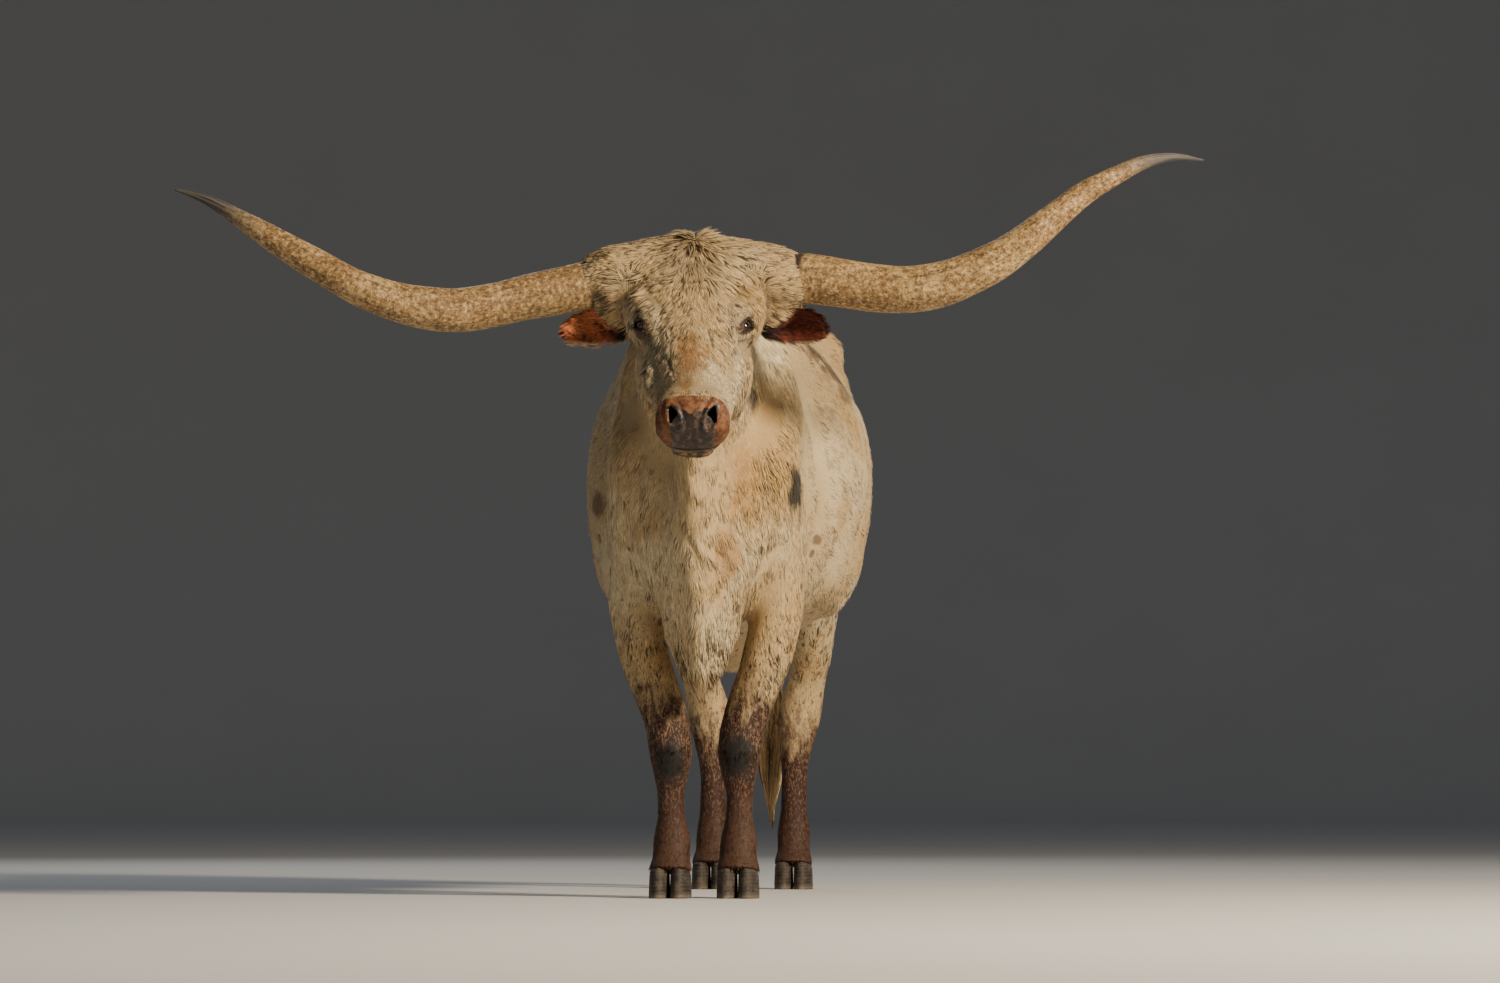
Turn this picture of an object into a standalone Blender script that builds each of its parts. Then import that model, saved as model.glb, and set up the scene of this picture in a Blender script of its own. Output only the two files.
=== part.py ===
"""A Texas longhorn steer standing square, life size. Metres, +Z up, nose towards -Y, its left side at +X."""

import math

import bmesh
import bpy
import numpy as np
from mathutils import Matrix, Vector
from mathutils.bvhtree import BVHTree

# Driving sizes
GAP = 0.0003  # between neighbouring pieces
BODY_VOXEL = 0.009
HEAD_VOXEL = 0.0045
RING = 40  # points round a body section
STEPS = 5  # rings between two stations of a form

HEAD_YAW = math.radians(5.0)  # the head looks a little to its left
HEAD_SLOPE = math.radians(45.0)  # of the nose below the level
HEAD_ROOT = Vector((0.006, -0.66, 1.42))  # inside the skull, behind the poll

TRIANGLES = {"body": 4850, "head": 2800}

HIDE = (0.80, 0.73, 0.60, 1)
RED_HAIR = (0.36, 0.13, 0.06, 1)
HORN = (0.62, 0.47, 0.29, 1)
HOOF = (0.16, 0.13, 0.11, 1)
EYE = (0.03, 0.02, 0.015, 1)


# The head's own axes: across to its left, along the nose, and up out of the forehead
def head_axes():
    turn = Matrix.Rotation(HEAD_YAW, 3, "Z")
    ahead = turn @ Vector((0, -1, 0))
    across = turn @ Vector((1, 0, 0))
    down = Vector((0, 0, -1))
    along = ahead * math.cos(HEAD_SLOPE) + down * math.sin(HEAD_SLOPE)
    crown = ahead * math.sin(HEAD_SLOPE) - down * math.cos(HEAD_SLOPE)
    return across, along, crown, ahead


ACROSS, ALONG, CROWN, AHEAD = head_axes()
UP = Vector((0, 0, 1))


def on_head(side, s, t):
    """The point that lies side to the head's left, s down the nose and t out of the face."""
    return HEAD_ROOT + ACROSS * side + ALONG * s + CROWN * t


def clear_scene():
    for obj in list(bpy.data.objects):
        bpy.data.objects.remove(obj)


def new_object(name, mesh):
    obj = bpy.data.objects.new(name, mesh)
    bpy.context.scene.collection.objects.link(obj)
    return obj


def eased(rows, steps=STEPS):
    """The stations of a form with a smooth curve's rows filled in between them."""
    rows = np.array(rows, float)
    ends = np.vstack([2 * rows[0] - rows[1], rows, 2 * rows[-1] - rows[-2]])
    filled = []
    for a, b, c, d in zip(ends, ends[1:], ends[2:], ends[3:]):
        for u in np.arange(steps) / steps:
            cubic = 2 * b + (c - a) * u + (2 * a - 5 * b + 4 * c - d) * u * u + (3 * b - a - 3 * c + d) * u**3
            filled.append(cubic / 2)
    filled.append(rows[-1])
    return np.array(filled)


def section(centre, side, up, wide, rise, fall, square_up, square_down, count=RING):
    """A closed ring: half width, height above and below its centre, and how square each half is."""
    ring = []
    for turn in np.arange(count) * 2 * math.pi / count:
        c, s = math.cos(turn), math.sin(turn)
        power = 2 / (square_up if s > 0 else square_down)
        tall = rise if s > 0 else fall
        x = math.copysign(abs(c) ** power, c) * wide
        y = math.copysign(abs(s) ** power, s) * tall
        ring.append(centre + side * x + up * y)
    return ring


def skin_rings(rings):
    """A closed mesh through rings of equal count."""
    count = len(rings[0])
    points = [tuple(p) for ring in rings for p in ring]
    faces = []
    for i in range(len(rings) - 1):
        for j in range(count):
            k = (j + 1) % count
            a, b = i * count, (i + 1) * count
            faces.append((a + j, a + k, b + k, b + j))
    last = (len(rings) - 1) * count
    faces.append(tuple(reversed(range(count))))
    faces.append(tuple(last + j for j in range(count)))
    return face_out(points, faces)


def face_out(points, faces):
    mesh = bpy.data.meshes.new("form")
    mesh.from_pydata([tuple(p) for p in points], [], faces)
    bm = bmesh.new()
    bm.from_mesh(mesh)
    bmesh.ops.triangulate(bm, faces=bm.faces)
    bmesh.ops.recalc_face_normals(bm, faces=bm.faces)
    bm.to_mesh(mesh)
    bm.free()
    return mesh


def egg(centre, radii, axes=None, count=32):
    """An ellipsoid, its radii along the given axes."""
    bm = bmesh.new()
    bmesh.ops.create_uvsphere(bm, u_segments=count, v_segments=count // 2, radius=1.0)
    frame = Matrix(axes).transposed() if axes else Matrix.Identity(3)
    for v in bm.verts:
        v.co = Vector(centre) + frame @ Vector([v.co[i] * radii[i] for i in range(3)])
    bmesh.ops.triangulate(bm, faces=bm.faces)
    bmesh.ops.recalc_face_normals(bm, faces=bm.faces)
    mesh = bpy.data.meshes.new("form")
    bm.to_mesh(mesh)
    bm.free()
    return mesh


def joined(name, meshes):
    """One object that holds every mesh of the list as it lies."""
    bm = bmesh.new()
    for mesh in meshes:
        bm.from_mesh(mesh)
        bpy.data.meshes.remove(mesh)
    whole = bpy.data.meshes.new(name)
    bm.to_mesh(whole)
    bm.free()
    return new_object(name, whole)


def settle(obj):
    """Applies the object's modifiers."""
    graph = bpy.context.evaluated_depsgraph_get()
    mesh = bpy.data.meshes.new_from_object(obj.evaluated_get(graph))
    obj.modifiers.clear()
    old = obj.data
    obj.data = mesh
    bpy.data.meshes.remove(old)
    return obj


def remesh(obj, voxel):
    modifier = obj.modifiers.new("Remesh", "REMESH")
    modifier.mode = "VOXEL"
    modifier.voxel_size = voxel
    return settle(obj)


def soften(obj, turns, weight=None):
    """Smooths the surface, by the share that weight gives for each point."""
    if weight:
        group = obj.vertex_groups.new(name="soft")
        for v in obj.data.vertices:
            group.add([v.index], max(0.0, min(1.0, weight(v.co))), "REPLACE")
    modifier = obj.modifiers.new("Smooth", "SMOOTH")
    modifier.factor = 0.5
    modifier.iterations = turns
    if weight:
        modifier.vertex_group = "soft"
    settle(obj)
    obj.vertex_groups.clear()
    return obj


def thin_out(obj, triangles):
    modifier = obj.modifiers.new("Decimate", "DECIMATE")
    count = sum(len(p.vertices) - 2 for p in obj.data.polygons)
    modifier.ratio = min(1.0, triangles / count)
    modifier.use_collapse_triangulate = True
    return settle(obj)


def copy_of(obj, name):
    return new_object(name, obj.data.copy())


def swollen(obj, by):
    """A copy of the object with its surface moved out."""
    out = copy_of(obj, "swollen")
    modifier = out.modifiers.new("Displace", "DISPLACE")
    modifier.strength = by
    modifier.mid_level = 0.0
    return settle(out)


def combine(obj, tool, operation):
    """A Boolean with the tool, which is then removed. Only the largest closed surface is kept."""
    modifier = obj.modifiers.new("Boolean", "BOOLEAN")
    modifier.operation = operation
    modifier.object = tool
    modifier.solver = "EXACT"
    settle(obj)
    bpy.data.objects.remove(tool)
    return largest(obj)


def unite(obj, meshes):
    """Joins closed meshes to the object by one Boolean union."""
    group = bpy.data.collections.new("pieces")
    bpy.context.scene.collection.children.link(group)
    for mesh in meshes:
        group.objects.link(bpy.data.objects.new("piece", mesh))
    modifier = obj.modifiers.new("Boolean", "BOOLEAN")
    modifier.operation = "UNION"
    modifier.operand_type = "COLLECTION"
    modifier.collection = group
    modifier.solver = "EXACT"
    settle(obj)
    for piece in list(group.objects):
        bpy.data.objects.remove(piece)
    bpy.data.collections.remove(group)
    return largest(obj)


def largest(obj):
    """Keeps the object's largest closed surface."""
    bm = bmesh.new()
    bm.from_mesh(obj.data)
    bm.faces.ensure_lookup_table()
    left = set(bm.faces)
    shells = []
    while left:
        shell, edge = set(), [left.pop()]
        while edge:
            face = edge.pop()
            shell.add(face)
            near = {f for e in face.edges for f in e.link_faces if f in left}
            left -= near
            edge.extend(near)
        shells.append(shell)
    shells.sort(key=lambda shell: sum(f.calc_area() for f in shell))
    spare = [f for shell in shells[:-1] for f in shell]
    bmesh.ops.delete(bm, geom=spare, context="FACES")
    bm.to_mesh(obj.data)
    bm.free()
    return obj


def block(planes, grow=0.0, reach=3.0):
    """A convex block: a big cube cut by planes, each a point on it and the way out of the block."""
    bm = bmesh.new()
    bmesh.ops.create_cube(bm, size=2 * reach)
    for point, out in planes:
        out = Vector(out).normalized()
        geometry = bm.verts[:] + bm.edges[:] + bm.faces[:]
        bmesh.ops.bisect_plane(
            bm, geom=geometry, dist=1e-7, plane_co=Vector(point) + out * grow, plane_no=out, clear_outer=True
        )
        rim = [e for e in bm.edges if e.is_boundary]
        bmesh.ops.contextual_create(bm, geom=rim)
    bmesh.ops.recalc_face_normals(bm, faces=bm.faces)
    mesh = bpy.data.meshes.new("block")
    bm.to_mesh(mesh)
    bm.free()
    return new_object("block", mesh)


def part_off(flesh, name, planes):
    """Cuts the piece that lies inside the planes off the flesh, half the gap from each side."""
    piece = copy_of(flesh, name)
    combine(piece, block(planes, -GAP / 2), "INTERSECT")
    combine(flesh, block(planes, GAP / 2), "DIFFERENCE")
    return piece


def finish(obj, colour, rough, name=None):
    """Names the node, gives it its material and shades it smooth."""
    if name:
        obj.name = name
    material = bpy.data.materials.new(obj.name)
    material.use_nodes = True
    shader = material.node_tree.nodes["Principled BSDF"]
    shader.inputs["Base Color"].default_value = colour
    shader.inputs["Roughness"].default_value = rough
    obj.data.materials.clear()
    obj.data.materials.append(material)
    obj.data.shade_smooth()
    return obj


# Body forms
def torso_form():
    """Sections from breast to rump: y, top, widest level, bottom, half width, squareness above and below."""
    stations = [
        (-0.555, 1.06, 0.90, 0.66, 0.10, 2.0, 2.0),
        (-0.50, 1.20, 0.93, 0.62, 0.155, 2.0, 2.0),
        (-0.40, 1.35, 0.96, 0.61, 0.19, 1.9, 2.0),
        (-0.28, 1.42, 0.97, 0.62, 0.215, 1.75, 2.1),
        (-0.14, 1.435, 0.97, 0.64, 0.25, 1.75, 2.2),
        (0.00, 1.42, 0.97, 0.63, 0.310, 1.9, 2.2),
        (0.18, 1.405, 0.97, 0.60, 0.345, 2.0, 2.2),
        (0.36, 1.405, 0.98, 0.595, 0.346, 2.05, 2.15),
        (0.52, 1.415, 1.0, 0.62, 0.325, 2.2, 2.1),
        (0.66, 1.43, 1.03, 0.68, 0.290, 2.7, 2.0),
        (0.78, 1.44, 1.05, 0.76, 0.262, 2.9, 2.0),
        (0.90, 1.43, 1.06, 0.82, 0.225, 2.5, 2.0),
        (0.99, 1.40, 1.08, 0.86, 0.175, 2.1, 2.0),
        (1.04, 1.34, 1.12, 0.92, 0.105, 2.0, 2.0),
    ]
    x, z = Vector((1, 0, 0)), Vector((0, 0, 1))
    rings = [
        section(Vector((0, y, mid)), x, z, wide, top - mid, mid - bottom, up, down)
        for y, top, mid, bottom, wide, up, down in eased(stations)
    ]
    return skin_rings(rings)


def neck_form():
    """Sections from the shoulders to the skull: y, z, half width, half depth, lean of the section."""
    stations = [
        (-0.20, 1.10, 0.185, 0.30, 0.10),
        (-0.34, 1.13, 0.165, 0.30, 0.20),
        (-0.45, 1.165, 0.145, 0.27, 0.30),
        (-0.54, 1.21, 0.128, 0.235, 0.40),
        (-0.61, 1.25, 0.118, 0.205, 0.45),
        (-0.68, 1.285, 0.110, 0.17, 0.50),
    ]
    rings = []
    for y, z, wide, deep, lean in eased(stations):
        up = Vector((0, math.sin(lean) * 0.6, math.cos(lean)))
        rings.append(section(Vector((0, y, z)), Vector((1, 0, 0)), up.normalized(), wide, deep, deep, 1.8, 1.8))
    return skin_rings(rings)


def keel_form():
    """The dewlap and brisket, level sections of a fold: z, front edge y, half width, reach back."""
    stations = [
        (1.120, -0.745, 0.030, 0.16),
        (1.040, -0.725, 0.048, 0.22),
        (0.950, -0.690, 0.070, 0.26),
        (0.860, -0.655, 0.095, 0.28),
        (0.770, -0.620, 0.115, 0.28),
        (0.690, -0.590, 0.112, 0.26),
        (0.620, -0.565, 0.092, 0.24),
        (0.560, -0.540, 0.068, 0.20),
        (0.510, -0.515, 0.046, 0.13),
        (0.480, -0.495, 0.026, 0.06),
    ]
    rings = []
    for z, front, wide, back in eased(stations):
        reach = back * 0.5
        centre = Vector((0, front + reach, z))
        rings.append(section(centre, Vector((1, 0, 0)), Vector((0, -1, 0)), wide, reach, reach, 1.35, 1.8))
    return skin_rings(rings)


def limb_form(side, stations, square=2.1):
    """Level sections down a limb: x, y, z, half width, reach forwards and backwards."""
    rings = []
    for x, y, z, wide, front, back in eased(stations):
        centre = Vector((side * x, y, z))
        rings.append(section(centre, Vector((1, 0, 0)), Vector((0, -1, 0)), wide, front, back, square, square))
    return skin_rings(rings)


FORELEG = [
    (0.085, -0.17, 1.37, 0.040, 0.07, 0.10),
    (0.120, -0.21, 1.27, 0.060, 0.10, 0.13),
    (0.145, -0.27, 1.14, 0.073, 0.14, 0.14),
    (0.150, -0.33, 1.01, 0.080, 0.165, 0.14),
    (0.152, -0.33, 0.90, 0.080, 0.165, 0.15),
    (0.160, -0.31, 0.80, 0.074, 0.130, 0.14),
    (0.168, -0.305, 0.71, 0.066, 0.100, 0.115),
    (0.157, -0.315, 0.62, 0.062, 0.080, 0.085),
    (0.135, -0.325, 0.53, 0.060, 0.068, 0.066),
    (0.105, -0.335, 0.45, 0.057, 0.058, 0.054),
    (0.086, -0.343, 0.39, 0.053, 0.055, 0.050),
    (0.079, -0.348, 0.335, 0.052, 0.060, 0.050),
    (0.079, -0.344, 0.285, 0.043, 0.047, 0.047),
    (0.079, -0.340, 0.235, 0.032, 0.036, 0.041),
    (0.078, -0.338, 0.180, 0.034, 0.037, 0.044),
    (0.077, -0.340, 0.130, 0.045, 0.046, 0.050),
    (0.077, -0.352, 0.095, 0.044, 0.046, 0.046),
    (0.078, -0.366, 0.068, 0.052, 0.062, 0.053),
    (0.078, -0.372, 0.040, 0.054, 0.066, 0.055),
    (0.078, -0.376, 0.000, 0.056, 0.070, 0.056),
]

HINDLEG = [
    (0.110, 0.84, 1.30, 0.080, 0.14, 0.14),
    (0.140, 0.85, 1.18, 0.090, 0.19, 0.17),
    (0.158, 0.85, 1.04, 0.100, 0.23, 0.18),
    (0.158, 0.84, 0.92, 0.092, 0.23, 0.175),
    (0.160, 0.83, 0.82, 0.084, 0.20, 0.165),
    (0.160, 0.84, 0.74, 0.073, 0.155, 0.140),
    (0.156, 0.87, 0.66, 0.061, 0.110, 0.105),
    (0.152, 0.905, 0.59, 0.052, 0.078, 0.085),
    (0.134, 0.945, 0.525, 0.050, 0.062, 0.078),
    (0.120, 0.965, 0.47, 0.056, 0.060, 0.070),
    (0.113, 0.960, 0.415, 0.055, 0.054, 0.052),
    (0.108, 0.950, 0.36, 0.043, 0.046, 0.044),
    (0.104, 0.942, 0.29, 0.034, 0.038, 0.040),
    (0.103, 0.936, 0.20, 0.035, 0.039, 0.042),
    (0.103, 0.934, 0.138, 0.044, 0.046, 0.050),
    (0.104, 0.920, 0.100, 0.042, 0.045, 0.045),
    (0.105, 0.905, 0.070, 0.051, 0.061, 0.052),
    (0.105, 0.899, 0.040, 0.053, 0.065, 0.054),
    (0.105, 0.895, 0.000, 0.055, 0.069, 0.055),
]


def body_bumps(side):
    """Bone and muscle that stands out under the hide on one side."""
    forms = [
        ((0.170, 0.715, 1.340), (0.084, 0.150, 0.072)),  # hook of the hip
        ((0.085, 0.955, 1.255), (0.058, 0.088, 0.10)),  # pin bone
        ((0.105, 0.88, 1.335), (0.110, 0.19, 0.085)),  # rump
        ((0.150, -0.445, 0.98), (0.065, 0.080, 0.11)),  # point of the shoulder
        ((0.150, -0.20, 0.80), (0.055, 0.07, 0.06)),  # point of the elbow
        ((0.130, -0.30, 1.15), (0.080, 0.12, 0.20)),  # shoulder blade
        ((0.165, 0.675, 0.80), (0.055, 0.065, 0.085)),  # stifle
        ((0.126, 1.018, 0.515), (0.028, 0.030, 0.055)),  # point of the hock
        ((0.230, 0.22, 0.86), (0.102, 0.26, 0.20)),  # belly side
    ]
    return [egg((side * x, y, z), radii) for (x, y, z), radii in forms]


def sheath_form():
    """The fold of hide under the belly."""
    stations = [
        (0.20, 0.600, 0.030, 0.05, 0.02),
        (0.30, 0.580, 0.036, 0.05, 0.035),
        (0.38, 0.575, 0.034, 0.05, 0.040),
        (0.46, 0.605, 0.030, 0.05, 0.025),
    ]
    rings = [
        section(Vector((0, y, z)), Vector((1, 0, 0)), UP, wide, rise, fall, 2.0, 2.0)
        for y, z, wide, rise, fall in eased(stations)
    ]
    return skin_rings(rings)


# Head forms
def skull_form():
    """Sections down the nose: s, top, widest level, bottom, half width, squareness above and below."""
    stations = [
        (-0.04, 0.055, -0.03, -0.130, 0.110, 2.2, 2.0),
        (0.03, 0.082, -0.03, -0.175, 0.138, 2.6, 2.0),
        (0.10, 0.088, -0.03, -0.200, 0.140, 2.8, 1.9),
        (0.18, 0.084, -0.03, -0.212, 0.128, 2.8, 1.8),
        (0.25, 0.079, -0.035, -0.200, 0.116, 2.6, 1.8),
        (0.32, 0.075, -0.035, -0.172, 0.102, 2.2, 1.8),
        (0.39, 0.071, -0.030, -0.140, 0.086, 2.1, 1.9),
        (0.45, 0.069, -0.020, -0.115, 0.074, 2.2, 2.0),
        (0.50, 0.068, -0.010, -0.098, 0.072, 2.3, 2.2),
        (0.54, 0.062, 0.000, -0.080, 0.074, 2.5, 2.3),
        (0.565, 0.045, 0.005, -0.055, 0.062, 2.5, 2.3),
        (0.578, 0.022, 0.005, -0.025, 0.040, 2.5, 2.3),
    ]
    rings = [
        section(on_head(0, s, mid), ACROSS, CROWN, wide, top - mid, mid - bottom, up, down)
        for s, top, mid, bottom, wide, up, down in eased(stations)
    ]
    return skin_rings(rings)


HORN_ROOT = 0.243  # from the middle of the head to the hair line of each horn


def boss_form():
    """The bony bar across the poll that carries the horns: side, ahead, z, half depth, rise, fall."""
    half = [
        (0.00, 0.030, 1.405, 0.086, 0.092, 0.09),
        (0.06, 0.034, 1.403, 0.084, 0.088, 0.09),
        (0.12, 0.042, 1.399, 0.080, 0.082, 0.085),
        (0.18, 0.050, 1.394, 0.076, 0.076, 0.080),
        (HORN_ROOT - 0.012, 0.055, 1.391, 0.073, 0.072, 0.076),
        (HORN_ROOT, 0.056, 1.390, 0.071, 0.070, 0.074),
    ]
    full = [(-row[0], *row[1:]) for row in reversed(half[1:])] + half
    rings = []
    for side, ahead, z, deep, rise, fall in eased(full):
        centre = HEAD_ROOT + ACROSS * side + AHEAD * ahead
        centre.z = z
        rings.append(section(centre, AHEAD, UP, deep, rise, fall, 2.0, 2.0))
    return skin_rings(rings)


def head_bumps(side):
    """Brow, cheek, lips and the flesh under the horn on one side of the head."""
    axes = (ACROSS, ALONG, CROWN)
    forms = [
        ((0.150, 0.065, -0.030), (0.085, 0.075, 0.075)),  # under the horn
        ((0.105, 0.160, 0.000), (0.050, 0.090, 0.070)),  # temple
        ((0.088, 0.215, 0.032), (0.040, 0.075, 0.040)),  # brow
        ((0.078, 0.340, -0.015), (0.034, 0.120, 0.036)),  # ridge under the eye
        ((0.084, 0.225, -0.105), (0.048, 0.130, 0.100)),  # cheek
        ((0.060, 0.420, -0.025), (0.034, 0.090, 0.050)),  # side of the nose
        ((0.055, 0.525, 0.000), (0.030, 0.050, 0.048)),  # nostril wing
    ]
    return [egg(on_head(side * x, s, t), radii, axes) for (x, s, t), radii in forms]


MUZZLE = on_head(0, 0.5477, 0.0223)  # middle of the nasal plate
PLATE_OUT = (AHEAD * 0.955 - UP * 0.297).normalized()
PLATE_UP = (AHEAD * 0.297 + UP * 0.955).normalized()


def muzzle_form():
    """The square muzzle: distance behind the nasal plate, half width, half height."""
    stations = [
        (0.110, 0.062, 0.056),
        (0.070, 0.074, 0.066),
        (0.036, 0.081, 0.069),
        (0.016, 0.080, 0.066),
        (0.005, 0.074, 0.060),
        (0.000, 0.064, 0.050),
    ]
    rings = [
        section(MUZZLE - PLATE_OUT * back, ACROSS, PLATE_UP, wide, tall, tall, 2.8, 2.8)
        for back, wide, tall in eased(stations)
    ]
    return skin_rings(rings)


def jaw_form():
    """The lower jaw: s, middle level, half width, rise, fall."""
    stations = [
        (0.08, -0.150, 0.070, 0.06, 0.045),
        (0.20, -0.172, 0.070, 0.06, 0.042),
        (0.30, -0.155, 0.060, 0.05, 0.036),
        (0.40, -0.125, 0.048, 0.04, 0.030),
        (0.48, -0.100, 0.045, 0.03, 0.026),
        (0.53, -0.080, 0.048, 0.03, 0.023),
        (0.558, -0.070, 0.038, 0.02, 0.015),
    ]
    rings = [
        section(on_head(0, s, t), ACROSS, CROWN, wide, rise, fall, 2.0, 2.2)
        for s, t, wide, rise, fall in eased(stations)
    ]
    return skin_rings(rings)


# Openings of the head
LIP_LINE = [  # half of the mouth's edge: side, s, t
    (0.000, 0.556, -0.043),
    (0.026, 0.552, -0.043),
    (0.045, 0.535, -0.045),
    (0.056, 0.505, -0.050),
    (0.060, 0.470, -0.056),
    (0.062, 0.430, -0.064),
]
MOUTH_DEPTH = 0.016
MOUTH_OPEN = 0.0022


def mouth_slot():
    """The line between the lips, as a thin wedge bent round the muzzle."""
    half = eased(LIP_LINE, 2)
    full = [(-side, s, t) for side, s, t in reversed(half[1:])] + list(map(tuple, half))
    rings = []
    for side, s, t in full:
        out = (ACROSS * side + ALONG * (s - 0.47)).normalized()
        rim = on_head(side, s, t)
        wide = rim + out * 0.05
        lift = CROWN * MOUTH_OPEN
        rings.append([rim - out * MOUTH_DEPTH, rim - lift, wide - lift * 3, wide + lift * 3, rim + lift])
    return new_object("mouth", skin_rings(rings))


NOSTRIL = (0.0095, 0.0215, 0.022)  # half width, half height, depth


def nostril(side):
    """A comma hollow, its foot nearer the middle than its head."""
    lean = math.radians(18) * side
    across = ACROSS * math.cos(lean) - PLATE_UP * math.sin(lean)
    up = PLATE_UP * math.cos(lean) + ACROSS * math.sin(lean)
    forms = []
    for slide, rise, share in ((0.0, 0.012, 1.0), (0.006, -0.003, 0.72)):
        centre = MUZZLE + ACROSS * side * (0.043 - slide) + PLATE_UP * rise + PLATE_OUT * 0.002
        radii = [size * share for size in NOSTRIL]
        forms.append(egg(centre, radii, (across, up, PLATE_OUT), 14))
    first = new_object("nostril", forms[0])
    return unite(first, forms[1:])


EYE_RADIUS = 0.0205
EYE_SPOT = (0.1060, 0.248, 0.030)
EYE_OPEN = (0.0185, 0.0105)  # half length and half height of the slit between the lids


def eye_axes(side):
    """Out of the eye, along its slit towards the nose, and up."""
    out = (ACROSS * side * 0.78 + CROWN * 0.60 + ALONG * 0.10).normalized()
    slit = ALONG * 0.75 + CROWN * 0.19 - ACROSS * side * 0.64
    slit = (slit - out * slit.dot(out)).normalized()
    return out, slit, out.cross(slit) * side


def eye_centre(side):
    return on_head(side * EYE_SPOT[0], *EYE_SPOT[1:])


def lid_form(side):
    return egg(eye_centre(side), [EYE_RADIUS + 0.0062] * 3)


def eye_ball(side):
    return new_object("eye", egg(eye_centre(side), [EYE_RADIUS] * 3, count=14))


def eye_slit(side):
    """An almond prism that opens the lids."""
    out, slit, up = eye_axes(side)
    rings = []
    for depth, share in ((0.004, 0.9), (0.016, 0.95), (0.024, 1.10), (0.034, 1.5)):
        ring = []
        for turn in np.arange(14) * 2 * math.pi / 14:
            along = math.cos(turn) * EYE_OPEN[0] * share
            rise = math.sin(turn) * EYE_OPEN[1] * share * (1 - 0.25 * math.cos(turn) ** 2)
            ring.append(eye_centre(side) + out * depth + slit * along + up * rise)
        rings.append(ring)
    return new_object("slit", skin_rings(rings))


# Horns: side, z, radius of the centre line's points from the root to the tip
HORN_LEFT = [
    (0.222, 1.3950, 0.0520),
    (0.243, 1.3926, 0.0545),
    (0.323, 1.3800, 0.0545),
    (0.403, 1.3667, 0.0540),
    (0.478, 1.3620, 0.0530),
    (0.550, 1.3720, 0.0500),
    (0.619, 1.3970, 0.0465),
    (0.682, 1.4284, 0.0430),
    (0.744, 1.4720, 0.0378),
    (0.807, 1.5240, 0.0312),
    (0.869, 1.5737, 0.0262),
    (0.932, 1.6096, 0.0215),
    (0.994, 1.6414, 0.0165),
    (1.044, 1.6560, 0.0112),
    (1.088, 1.6590, 0.0070),
    (1.139, 1.6530, 0.0022),
]
HORN_RIGHT = [
    (0.222, 1.3780, 0.0510),
    (0.249, 1.3725, 0.0530),
    (0.315, 1.3580, 0.0520),
    (0.382, 1.3436, 0.0505),
    (0.450, 1.3260, 0.0495),
    (0.518, 1.3147, 0.0490),
    (0.581, 1.3158, 0.0477),
    (0.659, 1.3300, 0.0440),
    (0.748, 1.3614, 0.0390),
    (0.837, 1.4115, 0.0350),
    (0.931, 1.4675, 0.0290),
    (1.007, 1.5150, 0.0210),
    (1.074, 1.5550, 0.0128),
    (1.121, 1.5750, 0.0072),
    (1.162, 1.5875, 0.0022),
]
HORN_DEPTH = [(0.20, 0.0), (0.35, -0.02), (0.55, -0.06), (0.75, -0.09), (0.95, -0.07), (1.17, -0.02)]
HORN_BASE = 0.056  # the root lies this far ahead of the head's root


def horn(side, rows):
    """One horn, round in section, that sweeps out, forwards and up."""
    sides, depths = zip(*HORN_DEPTH)
    centres = []
    for across, z, radius in rows:
        depth = np.interp(across, sides, depths)
        centre = HEAD_ROOT + ACROSS * side * across + AHEAD * (HORN_BASE - depth)
        centre.z = z
        centres.append((centre, radius))
    return tube("horn", centres, 11)


def tube(name, centres, count):
    """A round bar along points with radii."""
    rings = []
    up = UP
    for i, (centre, radius) in enumerate(centres):
        before, after = centres[max(i - 1, 0)][0], centres[min(i + 1, len(centres) - 1)][0]
        run = (after - before).normalized()
        if abs(run.z) > 0.95:
            up = Vector((0, 1, 0))
        side = run.cross(up).normalized()
        rise = side.cross(run)
        rings.append(section(centre, side, rise, radius, radius, radius, 2, 2, count))
        up = rise
    return new_object(name, skin_rings(rings))


# Ears: distance along, half height, half depth
EAR = [
    (0.000, 0.020, 0.016),
    (0.022, 0.028, 0.020),
    (0.048, 0.038, 0.022),
    (0.080, 0.043, 0.020),
    (0.112, 0.045, 0.017),
    (0.142, 0.041, 0.014),
    (0.163, 0.032, 0.011),
    (0.177, 0.020, 0.008),
    (0.184, 0.007, 0.006),
]
EAR_WALL = 0.005
EAR_HOLLOW = (0.020, 0.180)  # where the hollow begins and ends along the ear
EAR_LEVEL = {1: 1.304, -1: 1.298}


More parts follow.
